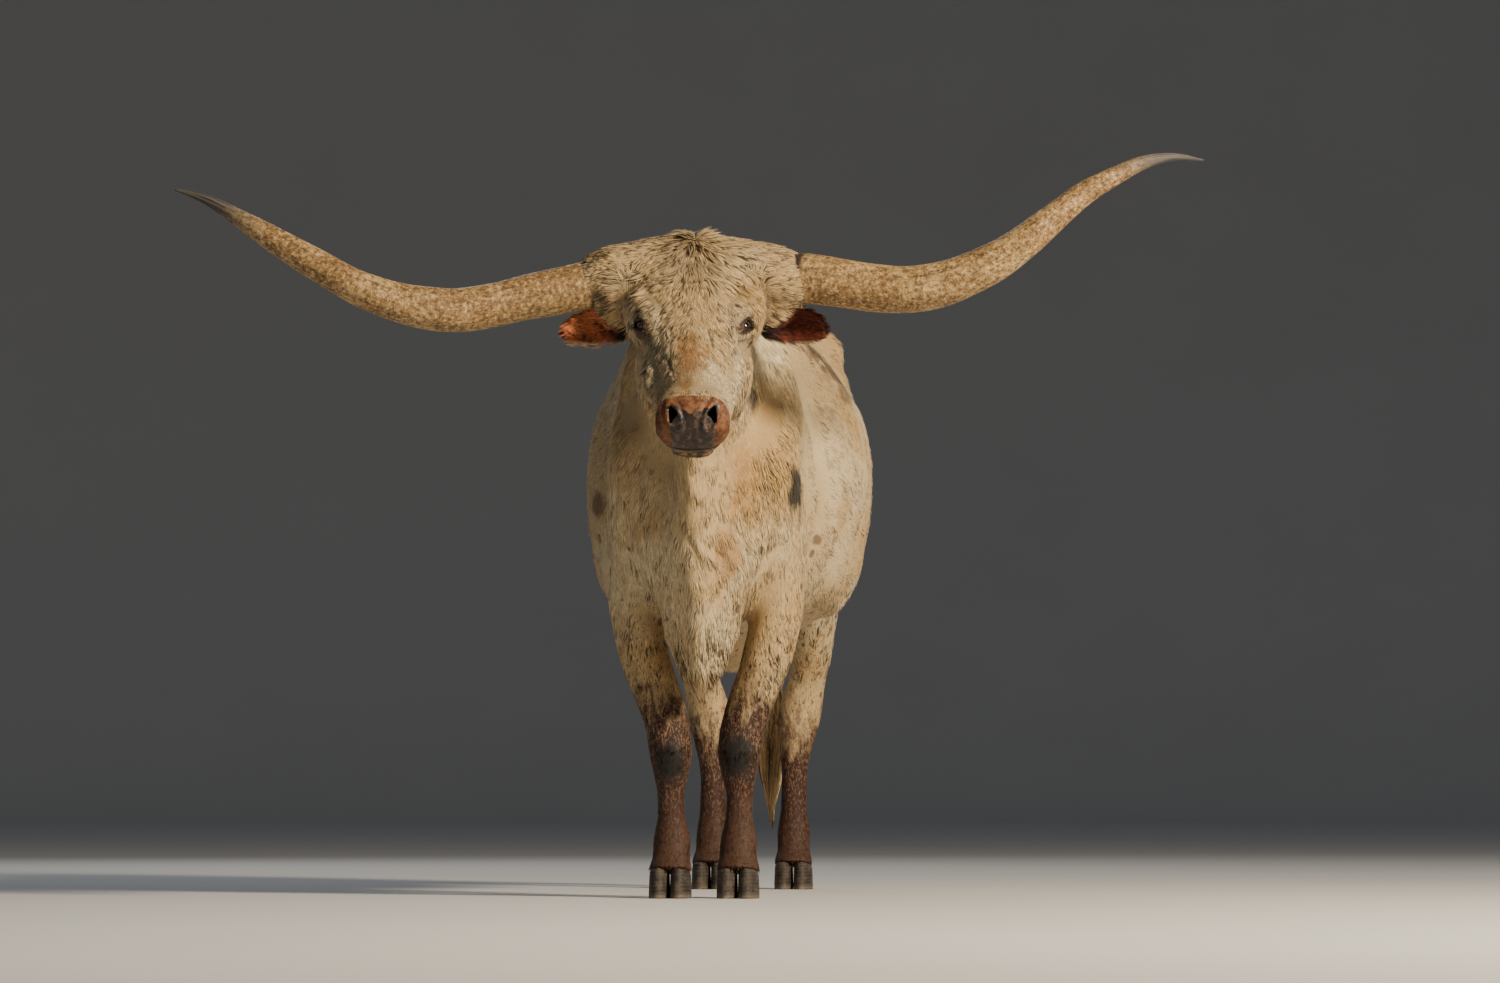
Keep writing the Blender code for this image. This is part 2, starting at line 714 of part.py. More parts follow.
def ear_forms(side):
    """The ear's outer form under the horn, and the hollow that opens it forwards."""
    run = (ACROSS * side - UP * 0.10 + AHEAD * 0.12).normalized()
    face = (AHEAD - UP * 0.25 + ACROSS * side * 0.05)
    face = (face - run * face.dot(run)).normalized()
    rise = run.cross(face) * -side
    root = HEAD_ROOT + ACROSS * side * 0.116
    root.z = EAR_LEVEL[side]
    shell, hollow = [], []
    for along, tall, deep in EAR:
        share = (along / EAR[-1][0]) ** 2
        bend = face * (0.010 * share)
        sag = rise * (-0.006 * share)
        centre = root + run * along + bend + sag
        shell.append(section(centre, rise, face, tall, deep, deep, 2, 2, 12))
        if EAR_HOLLOW[0] < along < EAR_HOLLOW[1]:
            open_share = math.sin(math.pi * (along - EAR_HOLLOW[0]) / (EAR_HOLLOW[1] - EAR_HOLLOW[0])) ** 0.45
            inner = (tall - EAR_WALL) * open_share
            front = centre + face * deep * 1.05
            hollow.append(section(front, rise, face, inner, deep, deep * 1.5 * open_share, 2, 2, 12))
    return new_object("ear", skin_rings(shell)), new_object("hollow", skin_rings(hollow))


# Hooves
CORONET = 0.060  # height of the middle of the hair line over each claw
CORONET_LEAN = 0.20  # it falls this much a metre to the rear
TOE_REACH = 0.022  # the toe stands this far in front of the hair line
CLAW_FRONT = 0.050  # from the hoof's middle to the hair line in front
CLAW_REAR = 0.046
CLAW_MIDDLE = 0.0245  # from the cleft to the middle of the claw
CLAW_HALF = 0.0235  # half width
CLEFT = 0.0016  # from the foot's middle to the claw's inner wall


def claw(foot, side):
    """Half of a cloven hoof on a flat sole: foot is the x, y of the hair line's middle."""
    x, y = foot
    rings = []
    for share, spread in ((0.0, 1.04), (0.5, 1.0), (1.0, 0.95)):
        front = CLAW_FRONT + 0.9 * TOE_REACH * (1 - share)
        rear = CLAW_REAR + 0.006 * (1 - share)
        ring = []
        for turn in np.arange(14) * 2 * math.pi / 14:
            c, s = math.cos(turn), math.sin(turn)
            ahead = (front if s > 0 else rear) * math.copysign(abs(s) ** 0.9, s)
            across = CLAW_MIDDLE + math.copysign(abs(c) ** 0.8, c) * CLAW_HALF * spread
            if across > CLAW_MIDDLE:
                across -= 0.004 * max(s, 0) ** 2
            top = CORONET + ahead * CORONET_LEAN
            ring.append(Vector((x + side * max(across, CLEFT), y - ahead, share * top)))
        rings.append(ring)
    return new_object("claw", skin_rings(rings))


def dew_claw(foot, side, height):
    x, y = foot
    return new_object("dew", egg((x + side * 0.021, y + 0.064, height), (0.0125, 0.015, 0.019), count=8))


FORE_FOOT = (0.078, -0.368)
HIND_FOOT = (0.105, 0.903)


# Tail
TAIL = [
    (0.000, 0.990, 1.375, 0.040),
    (0.000, 1.035, 1.372, 0.038),
    (0.000, 1.068, 1.335, 0.033),
    (0.000, 1.080, 1.270, 0.029),
    (0.002, 1.076, 1.180, 0.026),
    (0.006, 1.070, 1.060, 0.023),
    (0.012, 1.066, 0.920, 0.020),
    (0.018, 1.064, 0.780, 0.018),
    (0.024, 1.062, 0.660, 0.016),
    (0.026, 1.061, 0.600, 0.014),
]
SWITCH = [
    (0.023, 1.062, 0.640, 0.021),
    (0.026, 1.061, 0.560, 0.029),
    (0.029, 1.060, 0.470, 0.032),
    (0.032, 1.058, 0.380, 0.029),
    (0.035, 1.056, 0.290, 0.021),
    (0.037, 1.054, 0.220, 0.010),
]


def round_bar(name, rows, count, steps):
    rows = eased(rows, steps)
    return tube(name, [(Vector(row[:3]), row[3]) for row in rows], count)


def lock(points, out, width, thick, sink=0.0):
    """A flat tapered lock of hair along points, ridged on the side that faces out, its edges sunk."""
    last = len(points) - 1
    rings = []
    for i, point in enumerate(points):
        run = (points[min(i + 1, last)] - points[max(i - 1, 0)]).normalized()
        side = run.cross(out).normalized()
        face = side.cross(run)
        share = math.sin(math.pi * (0.30 + 0.66 * i / last))
        wide, deep = width * share, thick * share
        edge = point - face * sink * share
        rings.append([edge + side * wide, point + face * deep, edge - side * wide])
    return skin_rings(rings)


POLL_CREST = 1.493  # height of the whorl the poll's hair grows from
POLL_LOCK = (0.096, 0.022, 0.0065)  # length, half width, thickness
POLL_SINK = 0.005  # of a lock's edges
POLL_LIFT = (-0.014, 0.0000, 0.0025, 0.0060)  # of a lock's points over the hide, from root to tip
POLL_ROWS = [  # height, reach to each side, number of locks
    (1.482, 0.165, 7),
    (1.452, 0.188, 7),
    (1.420, 0.190, 8),
    (1.388, 0.180, 7),
    (1.354, 0.150, 6),
    (1.322, 0.095, 4),
]
CREST_LOCKS = 9
CREST_REACH = 0.125  # from the middle of the poll
CREST_LOCK = (0.075, 0.017, 0.006)  # length, half width, thickness


def head_tree(head):
    bm = bmesh.new()
    bm.from_mesh(head.data)
    tree = BVHTree.FromBMesh(bm)
    bm.free()
    return tree


def seen_from_front(tree, across, z):
    """The head's surface point and normal at a place of its front view."""
    start = HEAD_ROOT + ACROSS * across + AHEAD * 0.6
    start.z = z
    point, normal, _, _ = tree.ray_cast(start, -AHEAD)
    return point, normal


def seen_from_above(tree, across, ahead):
    """The head's surface point and normal at a place of its top view."""
    start = HEAD_ROOT + ACROSS * across + AHEAD * ahead + UP * 0.6
    point, normal, _, _ = tree.ray_cast(start, -UP)
    return point, normal


def poll_locks(head, rng):
    """Locks that lie away from the whorl towards the horns and down the forehead."""
    tree = head_tree(head)
    length, width, thick = POLL_LOCK
    locks = []
    for height, reach, count in POLL_ROWS:
        for i in range(count):
            across = reach * (2 * i / (count - 1) - 1) + rng.uniform(-0.006, 0.006)
            root = np.array([across, height + rng.uniform(-0.006, 0.006)])
            heading = root - (0, POLL_CREST + 0.03)
            heading /= np.linalg.norm(heading)
            curl = rng.uniform(-0.7, 0.7)
            points, out = [], None
            for step in range(4):
                share = step / 3
                bend = np.array([-heading[1], heading[0]]) * curl * share**2 * 0.3
                spot = root + (heading * share + bend) * length
                point, normal = seen_from_front(tree, spot[0], spot[1])
                if point is None:
                    break
                out = out or normal
                points.append(point + normal * POLL_LIFT[step])
            if len(points) == 4:
                locks.append(lock(points, out, width * rng.uniform(0.85, 1.15), thick, POLL_SINK))
    return locks


def crest_locks(head, rng):
    """Locks along the top of the poll that rise and fall away to each side."""
    tree = head_tree(head)
    length, width, thick = CREST_LOCK
    locks = []
    for i in range(CREST_LOCKS):
        share = 2 * i / (CREST_LOCKS - 1) - 1
        root, _ = seen_from_above(tree, CREST_REACH * share, rng.uniform(0.010, 0.035))
        way = ACROSS * (share + rng.uniform(-0.2, 0.2)) + AHEAD * rng.uniform(-0.35, 0.35)
        way = way.normalized()
        rise = 0.30 + 0.25 * (1 - abs(share))
        points = []
        for step in range(4):
            t = step / 3
            lift = -0.012 + length * rise * (t - 0.55 * t * t)
            points.append(root + way * length * t + UP * lift)
        locks.append(lock(points, UP, width * rng.uniform(0.85, 1.15), thick, POLL_SINK))
    return locks


SWITCH_LOCKS = 16
SWITCH_FOOT = 0.140  # lowest tip


def switch_locks(rng):
    """Long locks that hang round the end of the tail and cross each other."""
    locks = []
    for i in range(SWITCH_LOCKS):
        turn = i * 2.4 + rng.uniform(-0.3, 0.3)
        top = 0.62 - 0.30 * (i / SWITCH_LOCKS) ** 0.8
        length = min(rng.uniform(0.20, 0.30), top - SWITCH_FOOT)
        rows = np.array(SWITCH)
        out = Vector((math.cos(turn), math.sin(turn), 0))
        swing = rng.uniform(-0.9, 0.9)
        points = []
        for step in range(5):
            share = step / 4
            z = top - length * share
            x, y, radius = (np.interp(z, rows[::-1, 2], rows[::-1, k]) for k in (0, 1, 3))
            bow = radius * (0.80 + 0.45 * math.sin(math.pi * share * 0.8)) + 0.010 * share**2
            angle = turn + swing * share
            points.append(Vector((x + math.cos(angle) * bow, y + math.sin(angle) * bow, z)))
        locks.append(lock(points, out, rng.uniform(0.010, 0.015), 0.0045))
    return locks


def flesh_of_body():
    forms = [torso_form(), neck_form(), keel_form(), sheath_form()]
    forms += [skull_form(), boss_form()]
    for side in (1, -1):
        forms += [limb_form(side, FORELEG), limb_form(side, HINDLEG)]
        forms += body_bumps(side)
    body = remesh(joined("body", forms), BODY_VOXEL)
    soften(body, 6)
    return soften(body, 30, lambda p: (p.z - 0.60) / 0.15)


def flesh_of_head():
    forms = [skull_form(), boss_form(), jaw_form(), neck_form(), muzzle_form()]
    for side in (1, -1):
        forms += head_bumps(side)
        forms.append(lid_form(side))
    head = remesh(joined("head_flesh", forms), HEAD_VOXEL)
    return soften(head, 9)


# Cuts between the pieces, each a plane's point and the way out of the piece
HEAD_CUT = [((0, -0.590, 1.30), (0, 1, 0)), ((0, -0.620, 1.135), (0, 0.51, -0.86))]
NECK_CUT = [((0, -0.250, 1.45), (0, 0.894, -0.447))]


def leg_cut(side, knots, rear, front, lean):
    """A block round one leg: x, z knots of its inner side, its ends along the body and its front's lean."""
    planes = []
    for (x0, z0), (x1, z1) in zip(knots, knots[1:]):
        out = Vector((-(z1 - z0) * side, 0, x1 - x0))
        planes.append(((x0 * side, 0, z0), out))
    top = knots[-1]
    planes.append(((top[0] * side, 0, top[1]), (0, 0, 1)))
    return planes + [((0, rear, 0.6), (0, 1, 0)), ((0, front, 0.6), (0, -1, -lean))]


FORE_KNOTS = [(0.012, -0.1), (0.012, 0.40), (0.082, 0.60), (0.240, 0.79)]
HIND_KNOTS = [(0.012, -0.1), (0.012, 0.50), (0.060, 0.70), (0.240, 0.90)]
KNEE_LEVEL = 0.405
HOCK_LEVEL = 0.405


def feet_cut(foot):
    """The plane over the hooves at the hair line."""
    return [((0, foot[1], CORONET + GAP), (0, CORONET_LEAN, 1))]


def seat(flesh, pieces):
    """Hollows the flesh round each piece that stands in it, a gap wide."""
    for piece in pieces:
        combine(flesh, swollen(piece, GAP), "DIFFERENCE")


def make_leg(body, side, name, knots, reach, level, foot, names):
    """Parts a leg off the body, splits it, and gives it its claws."""
    upper = part_off(body, names[0], leg_cut(side, knots, *reach))
    lower = part_off(upper, names[1], [((0, 0, level), (0, 0, 1))])
    combine(lower, block(feet_cut(foot)), "DIFFERENCE")
    spot = (foot[0] * side, foot[1])
    nodes = [upper, lower]
    for which, hand in (("outer", side), ("inner", -side)):
        nodes.append(claw(spot, hand))
        nodes[-1].name = f"{name}_claw_{which}"
    for which, hand in (("outer", side), ("inner", -side)):
        dew = dew_claw(spot, hand, 0.100)
        dew.name = f"{name}_dewclaw_{which}"
        seat(lower, [dew])
        nodes.append(dew)
    return nodes


def make_head(rng):
    flesh = thin_out(flesh_of_head(), TRIANGLES["head"])
    head = part_off(flesh, "head", HEAD_CUT)
    bpy.data.objects.remove(flesh)
    unite(head, poll_locks(head, rng) + crest_locks(head, rng))
    pieces, hollows = {}, {}
    for side, word in ((1, "left"), (-1, "right")):
        pieces[f"horn_{word}"] = horn(side, HORN_LEFT if side > 0 else HORN_RIGHT)
        pieces[f"ear_{word}"], hollows[f"ear_{word}"] = ear_forms(side)
        pieces[f"eye_{word}"] = eye_ball(side)
        combine(head, eye_slit(side), "DIFFERENCE")
        combine(head, nostril(side), "DIFFERENCE")
    combine(head, mouth_slot(), "DIFFERENCE")
    seat(head, pieces.values())
    for name, hollow in hollows.items():
        combine(pieces[name], hollow, "DIFFERENCE")
    for name, piece in pieces.items():
        piece.name = name
    return head, pieces


def main():
    clear_scene()
    rng = np.random.default_rng(7)
    body = thin_out(flesh_of_body(), TRIANGLES["body"])
    combine(body, block(HEAD_CUT, GAP / 2), "DIFFERENCE")
    neck = part_off(body, "neck", NECK_CUT)
    finish(neck, HIDE, 0.9)
    for side, word in ((1, "left"), (-1, "right")):
        fore = (f"forearm_{word}", f"foreshank_{word}")
        hind = (f"thigh_{word}", f"hindshank_{word}")
        legs = make_leg(body, side, f"fore_{word}", FORE_KNOTS, (-0.10, -0.50, 0.0), KNEE_LEVEL, FORE_FOOT, fore)
        legs += make_leg(body, side, f"hind_{word}", HIND_KNOTS, (1.20, 0.645, 0.0), HOCK_LEVEL, HIND_FOOT, hind)
        for node in legs:
            finish(node, HOOF if "claw" in node.name else RED_HAIR if "shank" in node.name else HIDE, 0.9)
    tail = round_bar("tail", TAIL, 10, 1)
    seat(body, [tail])
    switch = round_bar("tail_switch", SWITCH, 8, 1)
    unite(switch, switch_locks(rng))
    seat(switch, [tail])
    finish(tail, HIDE, 0.9)
    finish(switch, HIDE, 0.9)
    finish(body, HIDE, 0.9, "torso")
    head, pieces = make_head(rng)
    finish(head, HIDE, 0.9)
    for name, piece in pieces.items():
        colour = HORN if "horn" in name else EYE if "eye" in name else RED_HAIR
        finish(piece, colour, 0.15 if "eye" in name else 0.5)


main()
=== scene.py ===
"""The looks of a Texas longhorn steer: one skin, its coat in tufts, horns, eyes and hooves."""

import math

import bmesh
import bpy
import numpy as np
from mathutils import Matrix, Vector
from mathutils.kdtree import KDTree


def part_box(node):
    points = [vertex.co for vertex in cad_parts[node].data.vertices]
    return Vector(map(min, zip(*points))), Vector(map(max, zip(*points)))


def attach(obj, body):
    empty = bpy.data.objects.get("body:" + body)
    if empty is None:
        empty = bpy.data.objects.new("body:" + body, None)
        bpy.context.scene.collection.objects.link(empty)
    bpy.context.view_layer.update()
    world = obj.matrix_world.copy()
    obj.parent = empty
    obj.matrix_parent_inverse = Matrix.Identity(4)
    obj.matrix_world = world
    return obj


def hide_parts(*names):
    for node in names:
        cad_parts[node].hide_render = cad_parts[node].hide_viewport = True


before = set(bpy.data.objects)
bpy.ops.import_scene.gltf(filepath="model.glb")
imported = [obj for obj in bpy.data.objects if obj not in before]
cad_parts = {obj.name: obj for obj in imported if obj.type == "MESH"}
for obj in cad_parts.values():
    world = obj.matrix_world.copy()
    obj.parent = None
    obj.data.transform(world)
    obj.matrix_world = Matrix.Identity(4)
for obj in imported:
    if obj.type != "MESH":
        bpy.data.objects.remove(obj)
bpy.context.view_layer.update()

# The head's own axes: across to its left, along the nose, up out of the forehead, and level ahead
HEAD_YAW = math.radians(5.0)
HEAD_SLOPE = math.radians(45.0)
HEAD_ROOT = Vector((0.006, -0.66, 1.42))
UP = Vector((0, 0, 1))
AHEAD = Matrix.Rotation(HEAD_YAW, 3, "Z") @ Vector((0, -1, 0))
ACROSS = Matrix.Rotation(HEAD_YAW, 3, "Z") @ Vector((1, 0, 0))
ALONG = AHEAD * math.cos(HEAD_SLOPE) - UP * math.sin(HEAD_SLOPE)
CROWN = AHEAD * math.sin(HEAD_SLOPE) + UP * math.cos(HEAD_SLOPE)

SKIN_VOXEL = 0.0036
SKIN_TRIANGLES = 186000
SKIN_TURNS = 26  # of smoothing everywhere
BODY_TURNS = 60  # of smoothing more on the body
HEAD_KEPT = 0.93  # how much less the head is coarsened than the body
FLESH = ("torso", "neck", "head", "ear", "tail", "forearm", "foreshank", "thigh", "hindshank")


def on_head(side, s, t):
    """The point that lies side to the head's left, s down the nose and t out of the face."""
    return HEAD_ROOT + ACROSS * side + ALONG * s + CROWN * t


def new_object(name, mesh):
    obj = bpy.data.objects.new(name, mesh)
    bpy.context.scene.collection.objects.link(obj)
    return obj


def object_of(bm, name):
    """An object with the mesh that was edited in bm."""
    mesh = bpy.data.meshes.new(name)
    bm.to_mesh(mesh)
    bm.free()
    return new_object(name, mesh)


def turns(count):
    """Angles once round."""
    return np.arange(count) * 2 * math.pi / count


# Forms of the head
def eased(rows, steps=5):
    """The stations of a form with a smooth curve's rows filled in between them."""
    rows = np.array(rows, float)
    ends = np.vstack([2 * rows[0] - rows[1], rows, 2 * rows[-1] - rows[-2]])
    filled = []
    for a, b, c, d in zip(ends, ends[1:], ends[2:], ends[3:]):
        for u in np.arange(steps) / steps:
            cubic = 2 * b + (c - a) * u + (2 * a - 5 * b + 4 * c - d) * u * u + (3 * b - a - 3 * c + d) * u**3
            filled.append(cubic / 2)
    filled.append(rows[-1])
    return np.array(filled)


SECTION_POINTS = 48


def section(centre, side, up, wide, rise, fall, square_up=2.0, square_down=2.0):
    """A closed ring: half width, height above and below its centre, and how square each half is."""
    ring = []
    for turn in turns(SECTION_POINTS):
        c, s = math.cos(turn), math.sin(turn)
        power = 2 / (square_up if s > 0 else square_down)
        x = math.copysign(abs(c) ** power, c) * wide
        y = math.copysign(abs(s) ** power, s) * (rise if s > 0 else fall)
        ring.append(centre + side * x + up * y)
    return ring


def skin_rings(rings):
    """A closed mesh of triangles through rings of equal count."""
    count = len(rings[0])
    faces = []
    for i in range(len(rings) - 1):
        for j in range(count):
            k = (j + 1) % count
            a, b = i * count, (i + 1) * count
            faces.append((a + j, a + k, b + k, b + j))
    last = (len(rings) - 1) * count
    faces.append(tuple(reversed(range(count))))
    faces.append(tuple(last + j for j in range(count)))
    mesh = bpy.data.meshes.new("form")
    mesh.from_pydata([tuple(p) for ring in rings for p in ring], [], faces)
    return face_out(mesh)


def face_out(mesh):
    bm = bmesh.new()
    bm.from_mesh(mesh)
    bmesh.ops.triangulate(bm, faces=bm.faces)
    bmesh.ops.recalc_face_normals(bm, faces=bm.faces)
    bm.to_mesh(mesh)
    bm.free()
    return mesh


def egg(centre, radii, axes=None, count=32):
    """An ellipsoid, its radii along the given axes."""
    bm = bmesh.new()
    bmesh.ops.create_uvsphere(bm, u_segments=count, v_segments=count // 2, radius=1.0)
    turn = Matrix(axes).transposed() if axes else Matrix.Identity(3)
    for v in bm.verts:
        v.co = Vector(centre) + turn @ Vector([v.co[i] * radii[i] for i in range(3)])
    mesh = bpy.data.meshes.new("form")
    bm.to_mesh(mesh)
    bm.free()
    return face_out(mesh)


def skull_form():
    """Sections down the nose: s, top, widest level, bottom, half width, squareness above and below."""
    stations = [
        (-0.04, 0.055, -0.03, -0.130, 0.110, 2.2, 2.0),
        (0.03, 0.082, -0.03, -0.175, 0.138, 2.6, 2.0),
        (0.10, 0.088, -0.03, -0.200, 0.140, 2.8, 1.9),
        (0.18, 0.084, -0.03, -0.212, 0.128, 2.8, 1.8),
        (0.25, 0.079, -0.035, -0.200, 0.116, 2.6, 1.8),
        (0.32, 0.075, -0.035, -0.172, 0.102, 2.2, 1.8),
        (0.39, 0.071, -0.030, -0.140, 0.086, 2.1, 1.9),
        (0.45, 0.069, -0.020, -0.115, 0.074, 2.2, 2.0),
        (0.50, 0.068, -0.010, -0.098, 0.072, 2.3, 2.2),
        (0.54, 0.062, 0.000, -0.080, 0.074, 2.5, 2.3),
        (0.565, 0.045, 0.005, -0.055, 0.062, 2.5, 2.3),
        (0.578, 0.022, 0.005, -0.025, 0.040, 2.5, 2.3),
    ]
    rings = [
        section(on_head(0, s, mid), ACROSS, CROWN, wide, top - mid, mid - bottom, up, down)
        for s, top, mid, bottom, wide, up, down in eased(stations)
    ]
    return skin_rings(rings)


HORN_ROOT = 0.243  # from the middle of the head to the hair line of each horn


def boss_form():
    """The bony bar across the poll that carries the horns: side, ahead, z, half depth, rise, fall."""
    half = [
        (0.00, 0.030, 1.405, 0.086, 0.092, 0.09),
        (0.06, 0.034, 1.403, 0.084, 0.088, 0.09),
        (0.12, 0.042, 1.399, 0.080, 0.082, 0.085),
        (0.18, 0.050, 1.394, 0.076, 0.076, 0.080),
        (HORN_ROOT - 0.026, 0.054, 1.391, 0.069, 0.068, 0.072),
        (HORN_ROOT - 0.006, 0.056, 1.389, 0.062, 0.060, 0.063),
        (HORN_ROOT, 0.056, 1.388, 0.057, 0.055, 0.057),
    ]
    full = [(-row[0], *row[1:]) for row in reversed(half[1:])] + half
    rings = []
    for side, ahead, z, deep, rise, fall in eased(full):
        centre = HEAD_ROOT + ACROSS * side + AHEAD * ahead
        centre.z = z
        rings.append(section(centre, AHEAD, UP, deep, rise, fall))
    return skin_rings(rings)


def neck_form():
    """Sections from the shoulders to the skull: y, z, half width, half depth, lean."""
    stations = [
        (-0.45, 1.165, 0.145, 0.27, 0.30),
        (-0.54, 1.21, 0.128, 0.235, 0.40),
        (-0.61, 1.25, 0.118, 0.205, 0.45),
        (-0.68, 1.285, 0.110, 0.17, 0.50),
    ]
    rings = []
    for y, z, wide, deep, lean in eased(stations):
        up = Vector((0, math.sin(lean) * 0.6, math.cos(lean)))
        centre, side = Vector((0, y, z)), Vector((1, 0, 0))
        rings.append(section(centre, side, up.normalized(), wide, deep, deep, 1.8, 1.8))
    return skin_rings(rings)


def head_bumps(side):
    """Brow, cheek, lips and the flesh under the horn on one side of the head."""
    forms = [
        ((0.150, 0.065, -0.030), (0.085, 0.075, 0.075)),  # under the horn
        ((0.105, 0.160, 0.000), (0.050, 0.090, 0.070)),  # temple
        ((0.088, 0.215, 0.032), (0.040, 0.075, 0.040)),  # brow
        ((0.078, 0.340, -0.015), (0.034, 0.120, 0.036)),  # ridge under the eye
        ((0.084, 0.225, -0.105), (0.048, 0.130, 0.100)),  # cheek
        ((0.060, 0.420, -0.025), (0.034, 0.090, 0.050)),  # side of the nose
        ((0.055, 0.525, 0.000), (0.030, 0.050, 0.048)),  # nostril wing
    ]
    return [egg(on_head(side * x, s, t), radii, (ACROSS, ALONG, CROWN)) for (x, s, t), radii in forms]


MUZZLE = on_head(0, 0.5477, 0.0223)  # middle of the nasal plate
PLATE_OUT = (AHEAD * 0.955 - UP * 0.297).normalized()
PLATE_UP = (AHEAD * 0.297 + UP * 0.955).normalized()


def muzzle_form():
    """The square muzzle: distance behind the nasal plate, half width, half height."""
    stations = [
        (0.110, 0.062, 0.056),
        (0.070, 0.074, 0.066),
        (0.036, 0.081, 0.069),
        (0.016, 0.080, 0.066),
        (0.005, 0.074, 0.060),
        (0.000, 0.064, 0.050),
    ]
    rings = [
        section(MUZZLE - PLATE_OUT * back, ACROSS, PLATE_UP, wide, tall, tall, 2.8, 2.8)
        for back, wide, tall in eased(stations)
    ]
    return skin_rings(rings)


def jaw_form():
    """The lower jaw: s, middle level, half width, rise, fall."""
    stations = [
        (0.08, -0.150, 0.070, 0.06, 0.045),
        (0.20, -0.172, 0.070, 0.06, 0.042),
        (0.30, -0.155, 0.060, 0.05, 0.036),
        (0.40, -0.125, 0.048, 0.04, 0.030),
        (0.48, -0.100, 0.045, 0.03, 0.026),
        (0.53, -0.080, 0.048, 0.03, 0.023),
        (0.558, -0.070, 0.038, 0.02, 0.015),
    ]
    rings = [
        section(on_head(0, s, t), ACROSS, CROWN, wide, rise, fall, 2.0, 2.2)
        for s, t, wide, rise, fall in eased(stations)
    ]
    return skin_rings(rings)


# Eyes
EYE_RADIUS = 0.0205
EYE_SPOT = (0.1060, 0.248, 0.030)
LID = 0.0062  # thickness of the lids over the eye
EYE_OPEN = (0.0205, 0.0100)  # half length and half height of the slit between the lids
LID_POINT = 0.25  # how much flatter the slit is at its corners than an ellipse


def eye_axes(side):
    """Out of the eye, along its slit towards the nose, and up."""
    out = (ACROSS * side * 0.78 + CROWN * 0.60 + ALONG * 0.10).normalized()
    slit = ALONG * 0.75 + CROWN * 0.19 - ACROSS * side * 0.64
    slit = (slit - out * slit.dot(out)).normalized()
    return out, slit, out.cross(slit) * side


def eye_centre(side):
    return on_head(side * EYE_SPOT[0], *EYE_SPOT[1:])


def eye_places(points, side):
    """Places from the eye's middle: along the slit, up, out, how far, and as a share of the slit."""
    out, slit, up = (np.array(axis) for axis in eye_axes(side))
    off = points - np.array(eye_centre(side))
    a, b = off @ slit, off @ up
    ring = np.sqrt((a / EYE_OPEN[0]) ** 2 + (b / EYE_OPEN[1]) ** 2)
    return a, b, off @ out, np.linalg.norm(off, axis=1), ring


def lid_edge(turn, share):
    """A point of the almond between the lids: along the slit and up."""
    rise = math.sin(turn) * EYE_OPEN[1] * share * (1 - LID_POINT * math.cos(turn) ** 2)
    return math.cos(turn) * EYE_OPEN[0] * share, rise


def eye_slit(side):
    """An almond prism that opens the lids."""
    out, slit, up = eye_axes(side)
    rings = []
    for depth, share in ((0.004, 0.9), (0.016, 0.95), (0.024, 1.10), (0.034, 1.5)):
        ring = []
        for turn in turns(36):
            along, rise = lid_edge(turn, share)
            ring.append(eye_centre(side) + out * depth + slit * along + up * rise)
        rings.append(ring)
    return skin_rings(rings)


# Mouth and nostrils
LIP_LINE = [  # half of the mouth's edge: side, s, t
    (0.000, 0.556, -0.043),
    (0.026, 0.552, -0.043),
    (0.045, 0.535, -0.045),
    (0.056, 0.505, -0.050),
    (0.060, 0.470, -0.056),
    (0.062, 0.430, -0.064),
]
MOUTH_DEPTH = 0.016
MOUTH_OPEN = 0.0016


def mouth_slot():
    """The line between the lips, as a thin wedge bent round the muzzle."""
    half = eased(LIP_LINE, 4)
    full = [(-side, s, t) for side, s, t in reversed(half[1:])] + list(map(tuple, half))
    rings = []
    for side, s, t in full:
        out = (ACROSS * side + ALONG * (s - 0.47)).normalized()
        rim = on_head(side, s, t)
        wide = rim + out * 0.05
        lift = CROWN * MOUTH_OPEN
        rings.append([rim - out * MOUTH_DEPTH, rim - lift, wide - lift * 3, wide + lift * 3, rim + lift])
    return skin_rings(rings)


NOSTRIL = (0.0092, 0.0240)  # half width and half height
NOSTRIL_SPOT = (0.0405, 0.008)  # across and above the middle of the nasal plate
NOSTRIL_LEAN = math.radians(18)


def nostril_axes(side):
    lean = NOSTRIL_LEAN * side
    across = ACROSS * math.cos(lean) - PLATE_UP * math.sin(lean)
    return across, PLATE_UP * math.cos(lean) + ACROSS * math.sin(lean)


def nostril(side):
    """A comma hollow, its foot nearer the middle than its head."""
    across, up = nostril_axes(side)
    centre = MUZZLE + ACROSS * side * NOSTRIL_SPOT[0] + PLATE_UP * NOSTRIL_SPOT[1] + PLATE_OUT * 0.002
    rings = []
    for depth, share in ((0.020, 1.5), (0.006, 1.12), (0.0, 0.95), (-0.012, 0.80), (-0.026, 0.45)):
        ring = []
        for turn in turns(30):
            rise = math.sin(turn)
            width = NOSTRIL[0] * (1.0 - 0.38 * rise)
            ring.append(
                centre
                + PLATE_OUT * depth
                + across * math.cos(turn) * width * share
                + up * rise * NOSTRIL[1] * share
            )
        rings.append(ring)
    return skin_rings(rings)


# The skin
def settle(obj):
    """Applies the object's modifiers."""
    graph = bpy.context.evaluated_depsgraph_get()
    mesh = bpy.data.meshes.new_from_object(obj.evaluated_get(graph))
    obj.modifiers.clear()
    old = obj.data
    obj.data = mesh
    bpy.data.meshes.remove(old)
    return obj


def remeshed(obj, size):
    """The object's surface made anew as one closed mesh, from voxels of this size."""
    modifier = obj.modifiers.new("Remesh", "REMESH")
    modifier.mode = "VOXEL"
    modifier.voxel_size = size
    return settle(obj).data


def is_flesh(node):
    return node.split("_")[0] in FLESH and node != "tail_switch"


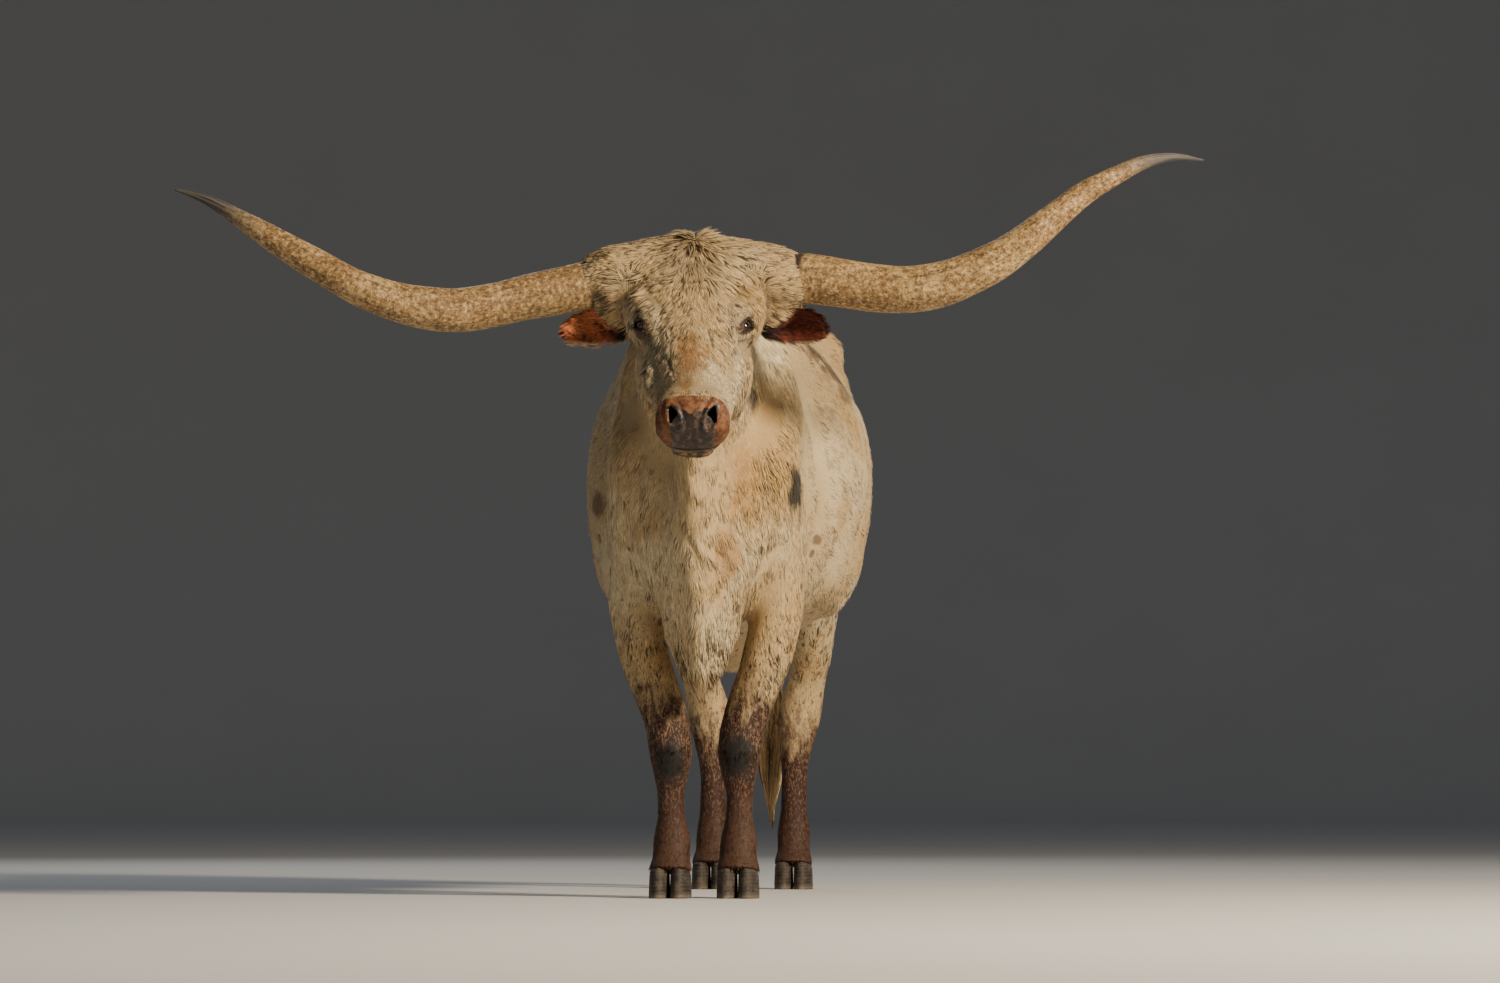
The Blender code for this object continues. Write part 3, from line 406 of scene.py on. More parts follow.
def rough_flesh():
    """The flesh solids joined with the finer forms of the head."""
    bm = bmesh.new()
    for node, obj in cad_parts.items():
        if is_flesh(node) and node != "head":
            bm.from_mesh(obj.data)
    bmesh.ops.remove_doubles(bm, verts=bm.verts, dist=1e-6)
    forms = [skull_form(), boss_form(), neck_form(), muzzle_form(), jaw_form()]
    for side in (1, -1):
        forms += head_bumps(side)
        forms.append(egg(eye_centre(side), [EYE_RADIUS + LID] * 3))
    for form in forms:
        bm.from_mesh(form)
        bpy.data.meshes.remove(form)
    return object_of(bm, "skin")


def points_of(mesh):
    flat = np.empty(len(mesh.vertices) * 3, np.float32)
    mesh.vertices.foreach_get("co", flat)
    return flat.reshape(-1, 3).astype(float)


def normals_of(mesh):
    flat = np.empty(len(mesh.vertices) * 3, np.float32)
    mesh.vertex_normals.foreach_get("vector", flat)
    return flat.reshape(-1, 3).astype(float)


def set_points(mesh, points):
    mesh.vertices.foreach_set("co", points.astype(np.float32).ravel())
    mesh.update()


def smoothed(points, edges, turns, weight):
    """Moves each point towards the mean of its neighbours, by its weight."""
    count = len(points)
    first, second = edges.T
    degree = np.bincount(edges.ravel(), minlength=count).astype(float)[:, None]
    share = 0.5 * weight[:, None]
    for _ in range(turns):
        total = np.empty_like(points)
        for axis in range(points.shape[1]):
            column = points[:, axis]
            total[:, axis] = np.bincount(first, column[second], count)
            total[:, axis] += np.bincount(second, column[first], count)
        points = points + share * (total / degree - points)
    return points


def edges_of(mesh):
    flat = np.empty(len(mesh.edges) * 2, np.int32)
    mesh.edges.foreach_get("vertices", flat)
    return flat.reshape(-1, 2)


def ramp(value, low, high):
    """0 below low, 1 above high, eased between them."""
    t = np.clip((value - low) / (high - low), 0, 1)
    return t * t * (3 - 2 * t)


def band(value, low, full, fade, high):
    """1 between full and fade, eased to 0 at low and high."""
    return ramp(value, low, full) * ramp(-value, -high, -fade)


def hump(value, centre, width):
    return np.exp(-(((value - centre) / width) ** 2))


class HeadView:
    """Where points lie on the head: side, s, t, and level and front-view places."""

    def __init__(self, points):
        off = points - np.array(HEAD_ROOT)
        self.side, self.s, self.t = off @ np.array(ACROSS), off @ np.array(ALONG), off @ np.array(CROWN)
        self.ahead = off @ np.array(AHEAD)
        self.z = points[:, 2]
        front = ramp(-points[:, 1], 0.585, 0.615)
        throat = (points - (0, -0.620, 1.135)) @ np.array((0, 0.51, -0.86))
        self.on = front * ramp(-throat, -0.02, 0.01)


def ear_share(points):
    """1 on the ears, 0 elsewhere."""
    view = HeadView(points)
    out = ramp(np.abs(view.side), 0.135, 0.155)
    return out * band(view.z, 1.20, 1.22, 1.335, 1.350) * band(view.ahead, -0.10, -0.07, 0.045, 0.07)


def muzzle_places(points):
    """Places from the middle of the nasal plate: across, up and behind it."""
    off = points - np.array(MUZZLE)
    return off @ np.array(ACROSS), off @ np.array(PLATE_UP), -(off @ np.array(PLATE_OUT))


def nostril_ring(points, side, wide, tall):
    """How far points lie from a nostril's middle, as a share of this half width and half height."""
    across, up = (np.array(axis) for axis in nostril_axes(side))
    off = points - np.array(MUZZLE)
    off = off - side * NOSTRIL_SPOT[0] * np.array(ACROSS) - NOSTRIL_SPOT[1] * np.array(PLATE_UP)
    return np.sqrt((off @ across / wide) ** 2 + (off @ up / tall) ** 2)


def muzzle_share(points):
    """1 on the bare skin of the muzzle and lips, 0 in the hair."""
    x, y, back = muzzle_places(points)
    across = np.abs(x / 0.0815) ** 3
    tall = np.abs((y + 0.012) / np.where(y > -0.012, 0.0660, 0.082)) ** 3
    inside = ramp(-((across + tall) ** (1 / 3)), -1.02, -0.94)
    return inside * ramp(-back, -0.052 - 0.012 * (y < -0.03), -0.034)


WAVES = 7  # summed in one noise


def waves(points, size, seed):
    """Smooth noise from -1 to 1 about, as a sum of waves of this size in random directions."""
    rng = np.random.default_rng(seed)
    total = np.zeros(len(points))
    for _ in range(WAVES):
        way = rng.normal(size=3)
        way /= np.linalg.norm(way)
        pitch = size * rng.uniform(0.6, 1.6)
        total += np.sin(points @ way * (2 * math.pi / pitch) + rng.uniform(0, 2 * math.pi))
    return total / math.sqrt(WAVES)


def near_line(points, line, width):
    """1 on a line through points in space, fading over width."""
    best = np.full(len(points), np.inf)
    for a, b in zip(line, line[1:]):
        a, b = np.array(a), np.array(b)
        run = b - a
        t = np.clip((points - a) @ run / (run @ run), 0, 1)
        best = np.minimum(best, ((points - a - t[:, None] * run) ** 2).sum(1))
    return np.exp(-best / width**2)


def coat_depth(points):
    """How far the skin lies under the tips of the coat."""
    view = HeadView(points)
    body = 0.0045 * ramp(points[:, 2], 0.45, 0.75) + 0.0005
    poll = ramp(view.z, 1.36, 1.44)
    head = 0.0025 + 0.0055 * poll
    depth = body * (1 - view.on) + head * view.on
    for side in (1, -1):
        far = eye_places(points, side)[3]
        depth *= ramp(far, 0.030, 0.055)
    return depth * (1 - muzzle_share(points)) * (1 - 0.8 * ear_share(points))


def eye_relief(points):
    """Lids, the wrinkles round them and the hollow before the eye, as heights."""
    height = np.zeros(len(points))
    for side in (1, -1):
        a, b, out, far, ring = eye_places(points, side)
        near = ramp(-far, -0.075, -0.045) * ramp(out, -0.01, 0.005)
        upper = ramp(b, -0.004, 0.004)
        rim = 0.0022 * hump(ring, 1.22, 0.28)
        crease = -0.0024 * hump(ring, 1.95, 0.24) * (0.15 + 0.85 * upper)
        fold = 0.0030 * hump(ring, 2.6, 0.45) * (0.35 + 0.65 * upper)
        second = -0.0016 * hump(ring, 3.3, 0.35) * (1 - 0.3 * upper)
        tear = -0.0030 * np.exp(-(((a - 0.033) / 0.008) ** 2 + ((b + 0.005) / 0.005) ** 2))
        bag = -0.0016 * hump(ring + 0.15 * np.sin(a * 260), 2.9, 0.18) * (1 - upper)
        height += near * (rim + crease + fold + second + tear + bag)
    return height


FACE_CREASES = [  # across and height of each crease's points, its width and depth
    ([(-0.103, 1.251), (-0.080, 1.226), (-0.061, 1.205), (-0.046, 1.165)], 0.0055, 0.0038),
    ([(-0.061, 1.284), (-0.052, 1.268), (-0.044, 1.251)], 0.0050, 0.0030),
    ([(-0.090, 1.225), (-0.080, 1.190), (-0.077, 1.150)], 0.0050, 0.0020),
    ([(0.105, 1.248), (0.088, 1.228), (0.070, 1.200)], 0.0050, 0.0028),
    ([(0.0787, 1.262), (0.0896, 1.234)], 0.0045, 0.0026),
    ([(0.092, 1.215), (0.083, 1.175), (0.080, 1.130)], 0.0050, 0.0012),
]


def head_relief(points):
    """Folds of the face, the rims of the nostrils, the plate's groove and the lips, as heights."""
    view = HeadView(points)
    height = np.zeros(len(points))
    face = band(view.s, 0.17, 0.24, 0.44, 0.50) * ramp(view.t, -0.06, -0.01)
    for side, strength in ((-1, 1.0), (1, 0.35)):
        across = side * view.side
        flank = band(across, 0.030, 0.050, 0.095, 0.118)
        bend = 0.006 * np.sin(view.s * 38 + side) + 0.004 * np.sin(view.s * 83)
        folds = np.sin((across + bend) * 2 * math.pi / 0.0165)
        patchy = np.clip(0.45 + 0.55 * waves(points, 0.05, 3), 0, 1.2)
        height += 0.0013 * strength * face * flank * folds * patchy
    ahead_of_eyes = ramp(view.t, -0.03, 0.01)
    front = np.stack([view.side, 0 * view.side, view.z], 1)
    for line, width, depth in FACE_CREASES:
        height -= depth * ahead_of_eyes * near_line(front, [(x, 0, z) for x, z in line], width)
    height += 0.0015 * hump(view.side, 0.0, 0.030) * face
    x, y, back = muzzle_places(points)
    plate = ramp(-back, -0.045, -0.02)
    height -= 0.0030 * plate * hump(x, 0, 0.0028) * band(y, -0.062, -0.05, -0.030, -0.012)
    height -= 0.0022 * plate * hump(x, 0, 0.014) * hump(y, -0.012, 0.030)
    for side in (1, -1):
        ring = nostril_ring(points, side, 0.0105, 0.0225)
        height += plate * (0.0032 * hump(ring, 1.38, 0.30) - 0.0018 * hump(ring, 2.15, 0.35))
    edge = muzzle_share(points)
    height += 0.0016 * hump(edge, 0.5, 0.28)
    lips = ramp(view.s, 0.40, 0.46)
    height += 0.0020 * lips * hump(view.t + 0.047, 0.008, 0.006) * ramp(-y, 0.02, 0.04)
    height += 0.0024 * lips * hump(view.t + 0.047, -0.010, 0.006)
    return height * view.on


def ear_relief(points):
    return 0.0012 * ear_share(points) * waves(points, 0.03, 5)


BODY_FOLDS = [  # points of each fold, its width and its height
    ([(0.268, -0.02, 0.87), (0.300, 0.10, 0.78), (0.290, 0.20, 0.70)], 0.016, -0.010),
    ([(0.290, -0.03, 0.83), (0.312, 0.08, 0.75), (0.290, 0.15, 0.68)], 0.012, -0.007),
    ([(0.330, 0.20, 0.95), (0.340, 0.12, 0.86), (0.320, 0.06, 0.80)], 0.010, -0.005),
    ([(0.090, -0.44, 0.64), (0.115, -0.46, 0.72), (0.150, -0.44, 0.80), (0.215, -0.36, 0.86)], 0.016, -0.009),
    ([(0.215, -0.15, 1.30), (0.235, -0.14, 1.12), (0.225, -0.12, 0.95), (0.200, -0.12, 0.80)], 0.028, -0.010),
    ([(0.150, -0.50, 1.24), (0.165, -0.52, 1.12), (0.140, -0.56, 0.98)], 0.020, -0.007),
    ([(0.120, -0.62, 1.14), (0.105, -0.66, 1.02), (0.075, -0.66, 0.90)], 0.012, -0.005),
    ([(0.255, 0.58, 1.20), (0.262, 0.60, 1.05), (0.240, 0.62, 0.92), (0.225, 0.62, 0.82)], 0.030, -0.012),
    ([(0.200, 0.50, 1.33), (0.260, 0.50, 1.28), (0.300, 0.48, 1.22)], 0.045, -0.014),
    ([(0.110, 0.96, 1.00), (0.125, 0.99, 0.86), (0.130, 0.98, 0.74)], 0.022, -0.008),
    ([(0.190, -0.25, 0.99), (0.185, -0.30, 0.90), (0.150, -0.40, 0.84)], 0.024, 0.006),
]
RIB_PITCH = 0.075


def body_relief(points):
    """Folds, ribs and small unevenness of the body, as heights."""
    view = HeadView(points)
    height = np.zeros(len(points))
    for line, width, rise in BODY_FOLDS:
        for side in (1, -1):
            height += rise * near_line(points, [(side * x, y, z) for x, y, z in line], width)
    x, y, z = points.T
    side = ramp(np.abs(x), 0.22, 0.30)
    barrel = side * band(y, 0.05, 0.18, 0.46, 0.58) * band(z, 0.78, 0.90, 1.12, 1.25)
    height += 0.0009 * barrel * np.sin((y - 0.25 * z) * 2 * math.pi / RIB_PITCH)
    height += 0.0022 * waves(points, 0.16, 11) * ramp(z, 0.5, 0.8)
    dewlap = ramp(-y, 0.50, 0.58) * band(z, 0.5, 0.6, 0.95, 1.05)
    pleats = np.sin(points @ np.array([60.0, 20.0, 16.0]) + 2.0 * waves(points, 0.12, 13))
    height += 0.0022 * dewlap * pleats
    return height * (1 - view.on)


def openings(skin):
    """Cuts the eye sockets, nostrils and mouth through the skin."""
    first = [mouth_slot()] + [nostril(side) for side in (1, -1)]
    first += [egg(eye_centre(side), [EYE_RADIUS + 0.0004] * 3) for side in (1, -1)]
    slits = [eye_slit(side) for side in (1, -1)]
    for forms in (first, slits):
        bm = bmesh.new()
        for form in forms:
            bm.from_mesh(form)
        cutter = object_of(bm, "cutters")
        modifier = skin.modifiers.new("Boolean", "BOOLEAN")
        modifier.operation = "DIFFERENCE"
        modifier.object = cutter
        modifier.solver = "EXACT"
        settle(skin)
        bpy.data.objects.remove(cutter)


def make_skin():
    """One closed skin under the coat, fine on the head and coarser on the body."""
    skin = rough_flesh()
    mesh = remeshed(skin, SKIN_VOXEL)
    points, edges = points_of(mesh), edges_of(mesh)
    view = HeadView(points)
    ears = ear_share(points)
    weight = np.clip(1 - 0.45 * view.on - 0.45 * ears, 0.1, 1)
    points = smoothed(points, edges, SKIN_TURNS, weight)
    broad = (1 - view.on) * ramp(points[:, 2], 0.62, 0.80) * ramp(-points[:, 1], -1.02, -0.98)
    points = smoothed(points, edges, BODY_TURNS, broad)
    set_points(mesh, points)
    relief = eye_relief(points) + head_relief(points) + body_relief(points) + ear_relief(points)
    points += normals_of(mesh) * (relief - coat_depth(points))[:, None]
    set_points(mesh, points)
    group = skin.vertex_groups.new(name="coarse")
    fine = np.clip(view.on, 0, 1)
    for level in (0.0, 0.5, 1.0):
        chosen = np.flatnonzero(np.abs(fine - level) <= 0.25)
        group.add(chosen.tolist(), 1 - HEAD_KEPT * level, "REPLACE")
    modifier = skin.modifiers.new("Decimate", "DECIMATE")
    modifier.vertex_group = group.name
    modifier.vertex_group_factor = 1.0
    modifier.use_collapse_triangulate = True
    modifier.ratio = SKIN_TRIANGLES / (2 * len(mesh.polygons))
    settle(skin)
    skin.vertex_groups.clear()
    openings(skin)
    skin.data.shade_smooth()
    return skin


# The coat
POLL_WHORL = 1.505  # height of the whorl that the head's hair grows from
EYE_WHORL = (0.130, 1.368)  # across and height of the whorl over each eye
WHORL_WIDE = 0.028  # radius that the whorl over the eye turns the hair in
LOCK_TUFTS = 10  # tufts that gather in one lock
TUFT_PATCH = 0.003  # of each tuft on the map OFBake
SKIN_NORMAL = 0.55  # share of the skin's own normal in the way that a tuft takes the light
BODY_HAIR, POLL_HAIR, EAR_HAIR, FACE_HAIR = 0.034, 0.043, 0.027, 0.013  # lengths
BRISKET_HAIR = 0.016  # so much longer than the body's
TUFT_SUNK = 0.0012  # depth of a tuft's root in the skin
TUFT_JITTER = 0.10  # turn of each tuft from the coat's lie, in radians
TUFT_CURL = (0.60, 0.18)  # bend along a tuft, shared with its neighbours and its own
TUFT_SHAPE = {2: [0.85, 0.95], 3: [0.75, 1.0, 0.62]}  # share of its width at each ring
TUFT_THICK = 0.42  # of its width
LOCK_UNDER = 0.4  # of its thickness lies under the centre line
STRAND_LENGTH = 0.02  # of a tuft, for one turn of the map Strand


class Hide:
    """The skin's triangles, with the lie, length, width and lift of the coat at its points."""

    def __init__(self, obj):
        mesh = obj.data
        mesh.calc_loop_triangles()
        flat = np.empty(len(mesh.loop_triangles) * 3, np.int32)
        mesh.loop_triangles.foreach_get("vertices", flat)
        self.triangles = flat.reshape(-1, 3)
        self.points = points_of(mesh)
        self.normals = normals_of(mesh)
        corners = self.points[self.triangles]
        self.centres = corners.mean(1)
        sides = corners[:, 1:] - corners[:, :1]
        self.areas = np.linalg.norm(np.cross(sides[:, 0], sides[:, 1]), axis=1) / 2
        self.view = HeadView(self.points)
        self.ears = ear_share(self.points)
        everywhere = np.ones(len(self.points))
        self.lie = smoothed(self.lie_field(), edges_of(mesh), 14, everywhere)
        self.fields = smoothed(self.coat_fields(), edges_of(mesh), 6, everywhere)

    def lie_field(self):
        """The way that the hair lies at each point, before it is laid in the skin."""
        x, y, z = self.points.T
        hand = np.tanh(x / 0.05)
        body = np.stack([0 * x, 0.9 + 0 * x, -0.40 + 0 * x], 1)
        chest = np.stack([0.35 * hand, 0.25 + 0 * x, -0.90 + 0 * x], 1)
        down = np.stack([0.08 * hand, 0.22 + 0 * x, -1.0 + 0 * x], 1)
        lie = mixed(body, chest, ramp(-y, 0.10, 0.45))
        lie = mixed(lie, down, ramp(-z, -0.80, -0.62))
        lie = mixed(lie, down, ramp(y, 0.70, 0.95) * ramp(-z, -1.30, -1.10))
        lie = mixed(lie, self.head_lie(), self.view.on)
        outwards = np.sign(self.view.side)[:, None] * np.array(ACROSS) - 0.15 * np.array(UP)
        lie = mixed(lie, outwards, self.ears)
        swing = 0.26 * waves(self.points, 0.30, 21) + 0.15 * waves(self.points, 0.09, 22)
        swing = swing * (1 - 0.55 * self.view.on) + self.view.on * 0.15 * waves(self.points, 0.035, 23)
        cheek = self.view.on * band(-self.view.side, 0.056, 0.072, 0.112, 0.125)
        cheek *= band(self.view.s, 0.24, 0.29, 0.43, 0.47)
        swing -= cheek * (0.45 + 0.35 * np.sin(self.view.side * 2 * math.pi / 0.020 + 45 * self.view.s))
        return turned(lie, self.normals, swing)

    def head_lie(self):
        """Away from the whorl on the poll, round the whorls over the eyes and down the face."""
        view = self.view
        across, height = view.side, view.z
        away = np.stack([across, 0.75 * (height - POLL_WHORL)], 1)
        away /= np.linalg.norm(away, axis=1)[:, None] + 1e-9
        boss = ramp(np.abs(across), 0.08, 0.15) * ramp(height, 1.32, 1.36)
        level = np.stack([np.sign(across), -0.15 * np.ones(len(across))], 1)
        away = mixed(away, level, 0.75 * boss)
        for side in (1, -1):
            off = np.stack([across - side * EYE_WHORL[0], height - EYE_WHORL[1]], 1)
            far = np.linalg.norm(off, axis=1)
            round_it = np.stack([-off[:, 1], off[:, 0]], 1) * side / (far[:, None] + 1e-6)
            outward = off / (far[:, None] + 1e-6)
            away = mixed(away, round_it + 0.55 * outward, np.exp(-((far / WHORL_WIDE) ** 2)))
        down = np.stack([0.10 * np.sign(across), -np.ones(len(across))], 1)
        away = mixed(away, down, ramp(-height, -1.30, -1.22))
        front = away[:, :1] * np.array(ACROSS) + away[:, 1:] * np.array(UP)
        cheek = -0.35 * np.array(AHEAD) - 0.9 * np.array(UP) + 0 * front
        return mixed(front, cheek, ramp(-view.t, 0.03, 0.08) * ramp(-view.s, -0.42, -0.30))

    def coat_fields(self):
        """Length, half width, lift and density of the tufts, their pull into locks, and the painted shade of
        the folds.
        """
        _, y, z = self.points.T
        view = self.view
        length = BODY_HAIR + 0.004 * ramp(-y, 0.05, 0.40)
        length = length * (0.45 + 0.55 * ramp(z, 0.36, 0.72))
        brisket = ramp(-y, 0.40, 0.48) * ramp(-z, -0.66, -0.54)
        length += BRISKET_HAIR * brisket
        face = FACE_HAIR + 0.013 * ramp(-view.s, -0.48, -0.32) + 0.008 * ramp(-view.s, -0.28, -0.14)
        poll = ramp(view.z, 1.33, 1.40)
        head = mixed(face, POLL_HAIR + 0 * face, poll)
        length = mixed(length, head, view.on)
        length = mixed(length, EAR_HAIR + 0 * length, self.ears)
        lift = 0.060 + 0.10 * brisket + 0.015 * view.on + 0.035 * view.on * poll + 0.24 * self.ears
        length = mixed(length, 0.65 * length, view.on * ramp(np.abs(view.side), 0.150, 0.215))
        crest = view.on * ramp(view.z, 1.455, 1.480)
        parting = hump(view.side, 0.0, 0.014) * crest
        lift += 0.06 * crest + 0.48 * parting
        length -= 0.008 * parting
        nose = view.on * ramp(view.s, 0.22, 0.42)
        density = 1.0 + 1.0 * ramp(-y, 0.0, 0.4) + 5.0 * view.on + 6.0 * self.ears + 7.0 * nose
        bare = muzzle_share(self.points)
        length *= 1 - 0.55 * ramp(bare, 0.01, 0.35)
        for side in (1, -1):
            far, ring = eye_places(self.points, side)[3:]
            near = ramp(-far, -0.040, -0.030)
            length *= 1 - 0.66 * ramp(-far, -0.055, -0.028)
            bare = np.maximum(bare, near * ramp(-ring, -1.36, -1.18))
            bare = np.maximum(bare, ramp(-far, -EYE_RADIUS - 0.0035, -EYE_RADIUS - 0.0020))
        density *= 1 - bare
        density *= z > 0.064
        gather = 0.42 + 0.24 * view.on * poll - 0.12 * nose
        half_width = 0.0006 + (0.030 - 0.006 * view.on) * length
        # Painted shade: the valleys of the head's folds and creases, and of the body's folds.
        folds = np.clip(-head_relief(self.points) / 0.0030, 0, 1)
        folds += np.clip(-body_relief(self.points) / 0.020, 0, 0.4)
        return np.stack([length, half_width, lift, density, gather, folds], 1)

    def roots(self, chosen, count, rng):
        """Places spread over the chosen triangles by the coat's density."""
        density = self.fields[:, 3][self.triangles].mean(1)
        pull = np.where(chosen & (density > 0.25), self.areas * density, 0.0)
        steps = np.cumsum(pull)
        picks = (np.arange(count) + rng.random(count)) / count * steps[-1]
        face = np.minimum(np.searchsorted(steps, picks), len(pull) - 1)
        a, b = rng.random(count), rng.random(count)
        over = a + b > 1
        a[over], b[over] = 1 - a[over], 1 - b[over]
        share = np.stack([1 - a - b, a, b], 1)[:, :, None]
        corners = self.triangles[face]

        def at(values):
            return (values[corners] * share).sum(1)

        return at(self.points), unit(at(self.normals)), at(self.lie), at(self.fields)


def mixed(a, b, share):
    share = np.asarray(share)
    if a.ndim > share.ndim:
        share = share[:, None]
    return a * (1 - share) + b * share


def unit(vectors):
    return vectors / (np.linalg.norm(vectors, axis=1)[:, None] + 1e-12)


def turned(vectors, axes, angle):
    """Vectors turned round axes at right angles to them."""
    return vectors * np.cos(angle)[:, None] + np.cross(axes, vectors) * np.sin(angle)[:, None]


def put_values(mesh, values):
    """Numbers, one for each point, as attributes of the mesh."""
    for title, numbers in values.items():
        layer = mesh.attributes.new(title, "FLOAT", "POINT")
        layer.data.foreach_set("value", numbers.astype(np.float32))


def put_map(mesh, title, places):
    """A UV map from one place for each point."""
    corners = np.empty(len(mesh.loops), np.int32)
    mesh.loops.foreach_get("vertex_index", corners)
    layer = mesh.uv_layers.new(name=title)
    layer.data.foreach_set("uv", places[corners].astype(np.float32).ravel())


def mesh_of(name, points, triangles, maps, values):
    """A mesh from arrays: maps are UV coordinates and values are numbers, one for each point."""
    mesh = bpy.data.meshes.new(name)
    mesh.vertices.add(len(points))
    mesh.vertices.foreach_set("co", points.astype(np.float32).ravel())
    mesh.loops.add(triangles.size)
    mesh.loops.foreach_set("vertex_index", triangles.astype(np.int32).ravel())
    mesh.polygons.add(len(triangles))
    mesh.polygons.foreach_set("loop_start", np.arange(0, triangles.size, 3, dtype=np.int32))
    for title, places in maps.items():
        put_map(mesh, title, places)
    put_values(mesh, values)
    mesh.update()
    mesh.validate()
    mesh.shade_smooth()
    return mesh


def lock_triangles(rings):
    """The faces of one closed lock of three sides that ends in a point."""
    faces = [(0, 2, 1)]
    for ring in range(rings - 1):
        for side in range(3):
            a, b = 3 * ring + side, 3 * ring + (side + 1) % 3
            faces += [(a, b, b + 3), (a, b + 3, a + 3)]
    tip, last = 3 * rings, 3 * (rings - 1)
    faces += [(last + side, last + (side + 1) % 3, tip) for side in range(3)]
    return np.array(faces)


def gathered(centres, pull, size, rng):
    """Centre lines whose ends draw together in locks of about this size, and a number for each lock."""
    leaders = rng.choice(len(centres), len(centres) // size, replace=False)
    tree = KDTree(len(leaders))
    for index, leader in enumerate(leaders):
        tree.insert(centres[leader, 0], index)
    tree.balance()
    lock = np.array([tree.find(root)[1] for root in centres[:, 0]])
    share = np.linspace(0, 1, centres.shape[1]) ** 1.4
    drawn = pull[:, None, None] * share[None, :, None]
    return centres + drawn * (centres[leaders[lock]] - centres), rng.random(len(leaders))[lock]


def locks_mesh(name, centres, outs, widths, depths, spots, rng, shade=None):
    """Closed tapered locks along centre lines, (lock, ring, axis) with the last ring the tip."""
    count, rings = centres.shape[0], centres.shape[1] - 1
    runs = np.gradient(centres, axis=1)
    runs /= np.linalg.norm(runs, axis=2)[:, :, None] + 1e-12
    sides = np.cross(runs, outs)
    sides /= np.linalg.norm(sides, axis=2)[:, :, None] + 1e-12
    faces_up = np.cross(sides, runs)
    points = np.empty((count, 3 * rings + 1, 3))
    across = np.zeros((count, 3 * rings + 1))
    for ring in range(rings):
        wide = sides[:, ring] * widths[:, ring, None]
        deep = faces_up[:, ring] * depths[:, ring, None]
        points[:, 3 * ring] = centres[:, ring] - wide - LOCK_UNDER * deep
        points[:, 3 * ring + 1] = centres[:, ring] + deep
        points[:, 3 * ring + 2] = centres[:, ring] + wide - LOCK_UNDER * deep
        across[:, 3 * ring : 3 * ring + 3] = (0.0, 0.5, 1.0)
    points[:, -1] = centres[:, -1]
    across[:, -1] = 0.5
    share = np.append(np.repeat(np.arange(rings) / rings, 3), 1.0)
    along = np.broadcast_to(share, across.shape)
    long = np.linalg.norm(np.diff(centres, axis=1), axis=2).sum(1)
    down = along * long[:, None] / STRAND_LENGTH + 9 * rng.random((count, 1))
    strand = np.stack([across + 7.0 * rng.random((count, 1)), down], 2)
    bake = spots[:, None, :] + TUFT_PATCH * np.stack([across - 0.5, along - 0.5], 2)
    step = 3 * rings + 1
    triangles = (lock_triangles(rings)[None] + step * np.arange(count)[:, None, None]).reshape(-1, 3)
    own = rng.random(count) if shade is None else shade
    shade = np.broadcast_to(own[:, None], across.shape)
    maps = {"OFBake": bake.reshape(-1, 2), "Strand": strand.reshape(-1, 2)}
    values = {"along": along.ravel(), "shade": shade.ravel()}
    mesh = mesh_of(name, points.reshape(-1, 3), triangles, maps, values)
    ring_of = np.append(np.repeat(np.arange(rings), 3), rings)
    blend = unit(SKIN_NORMAL * outs[:, ring_of].reshape(-1, 3) + (1 - SKIN_NORMAL) * normals_of(mesh))
    mesh.normals_split_custom_set_from_vertices(blend.tolist())
    return mesh


def unwrap(points, origin, axis, halves=False):
    """Places on a map of the skin unrolled round an axis, its sides apart where it has two limbs."""
    axis = unit(np.array([axis], float))[0]
    off = points - np.array(origin)
    if halves:
        off[:, 0] = np.where(points[:, 0] > 0, off[:, 0], -off[:, 0]) - origin[0]
    along = off @ axis
    first = unit(np.cross([axis], [[0.31, 0.17, 0.93]]))[0]
    second = np.cross(axis, first)
    turn = np.arctan2(off @ second, off @ first) / (2 * math.pi) + 0.5
    if halves:
        turn = turn / 2 + 0.5 * (points[:, 0] > 0)
    along = (along - along.min()) / (along.max() - along.min())
    return 0.004 + 0.992 * np.stack([turn, along], 1)


def coat_piece(hide, rng, name, chosen, count, rings, origin, axis, halves):
    """Tufts over the chosen triangles, laid in the coat's lie."""
    roots, normals, lies, fields = hide.roots(chosen, count, rng)
    length, half_width, lift, _, pull, folds = fields.T
    length = length * rng.uniform(0.70, 1.25, count)
    half_width = half_width * rng.uniform(0.75, 1.2, count)
    lie = unit(lies - (lies * normals).sum(1)[:, None] * normals)
    lie = turned(lie, normals, rng.normal(0, TUFT_JITTER, count))
    curl = TUFT_CURL[0] * waves(roots, 0.055, 31) + rng.normal(0, TUFT_CURL[1], count)
    lift = lift * rng.uniform(0.6, 1.5, count)
    centres = np.empty((count, rings + 1, 3))
    centres[:, 0] = roots - normals * TUFT_SUNK
    for ring in range(rings):
        share = ring / rings
        way = turned(lie, normals, curl * (share - 0.2))
        rise = lift * (1.25 - 1.15 * share)
        centres[:, ring + 1] = centres[:, ring] + (way + normals * rise[:, None]) * (length / rings)[:, None]
    widths = half_width[:, None] * np.array(TUFT_SHAPE[rings])
    depths = widths * TUFT_THICK
    outs = np.repeat(normals[:, None], rings + 1, axis=1)
    spots = unwrap(roots, origin, axis, halves)
    centres, lock_shade = gathered(centres, pull, LOCK_TUFTS, rng)
    # Tufts in the folds' valleys are painted darker, as their shade.
    shade = (0.5 * rng.random(count) + 0.5 * lock_shade) * (1 - 0.6 * folds)
    mesh = locks_mesh(name, centres, outs, widths, depths, spots, rng, shade)
    return new_object(name, mesh)


NECK_BACK, SHOULDERS_BACK, BARREL_BACK = -0.42, -0.10, 0.55  # where each piece of the trunk ends


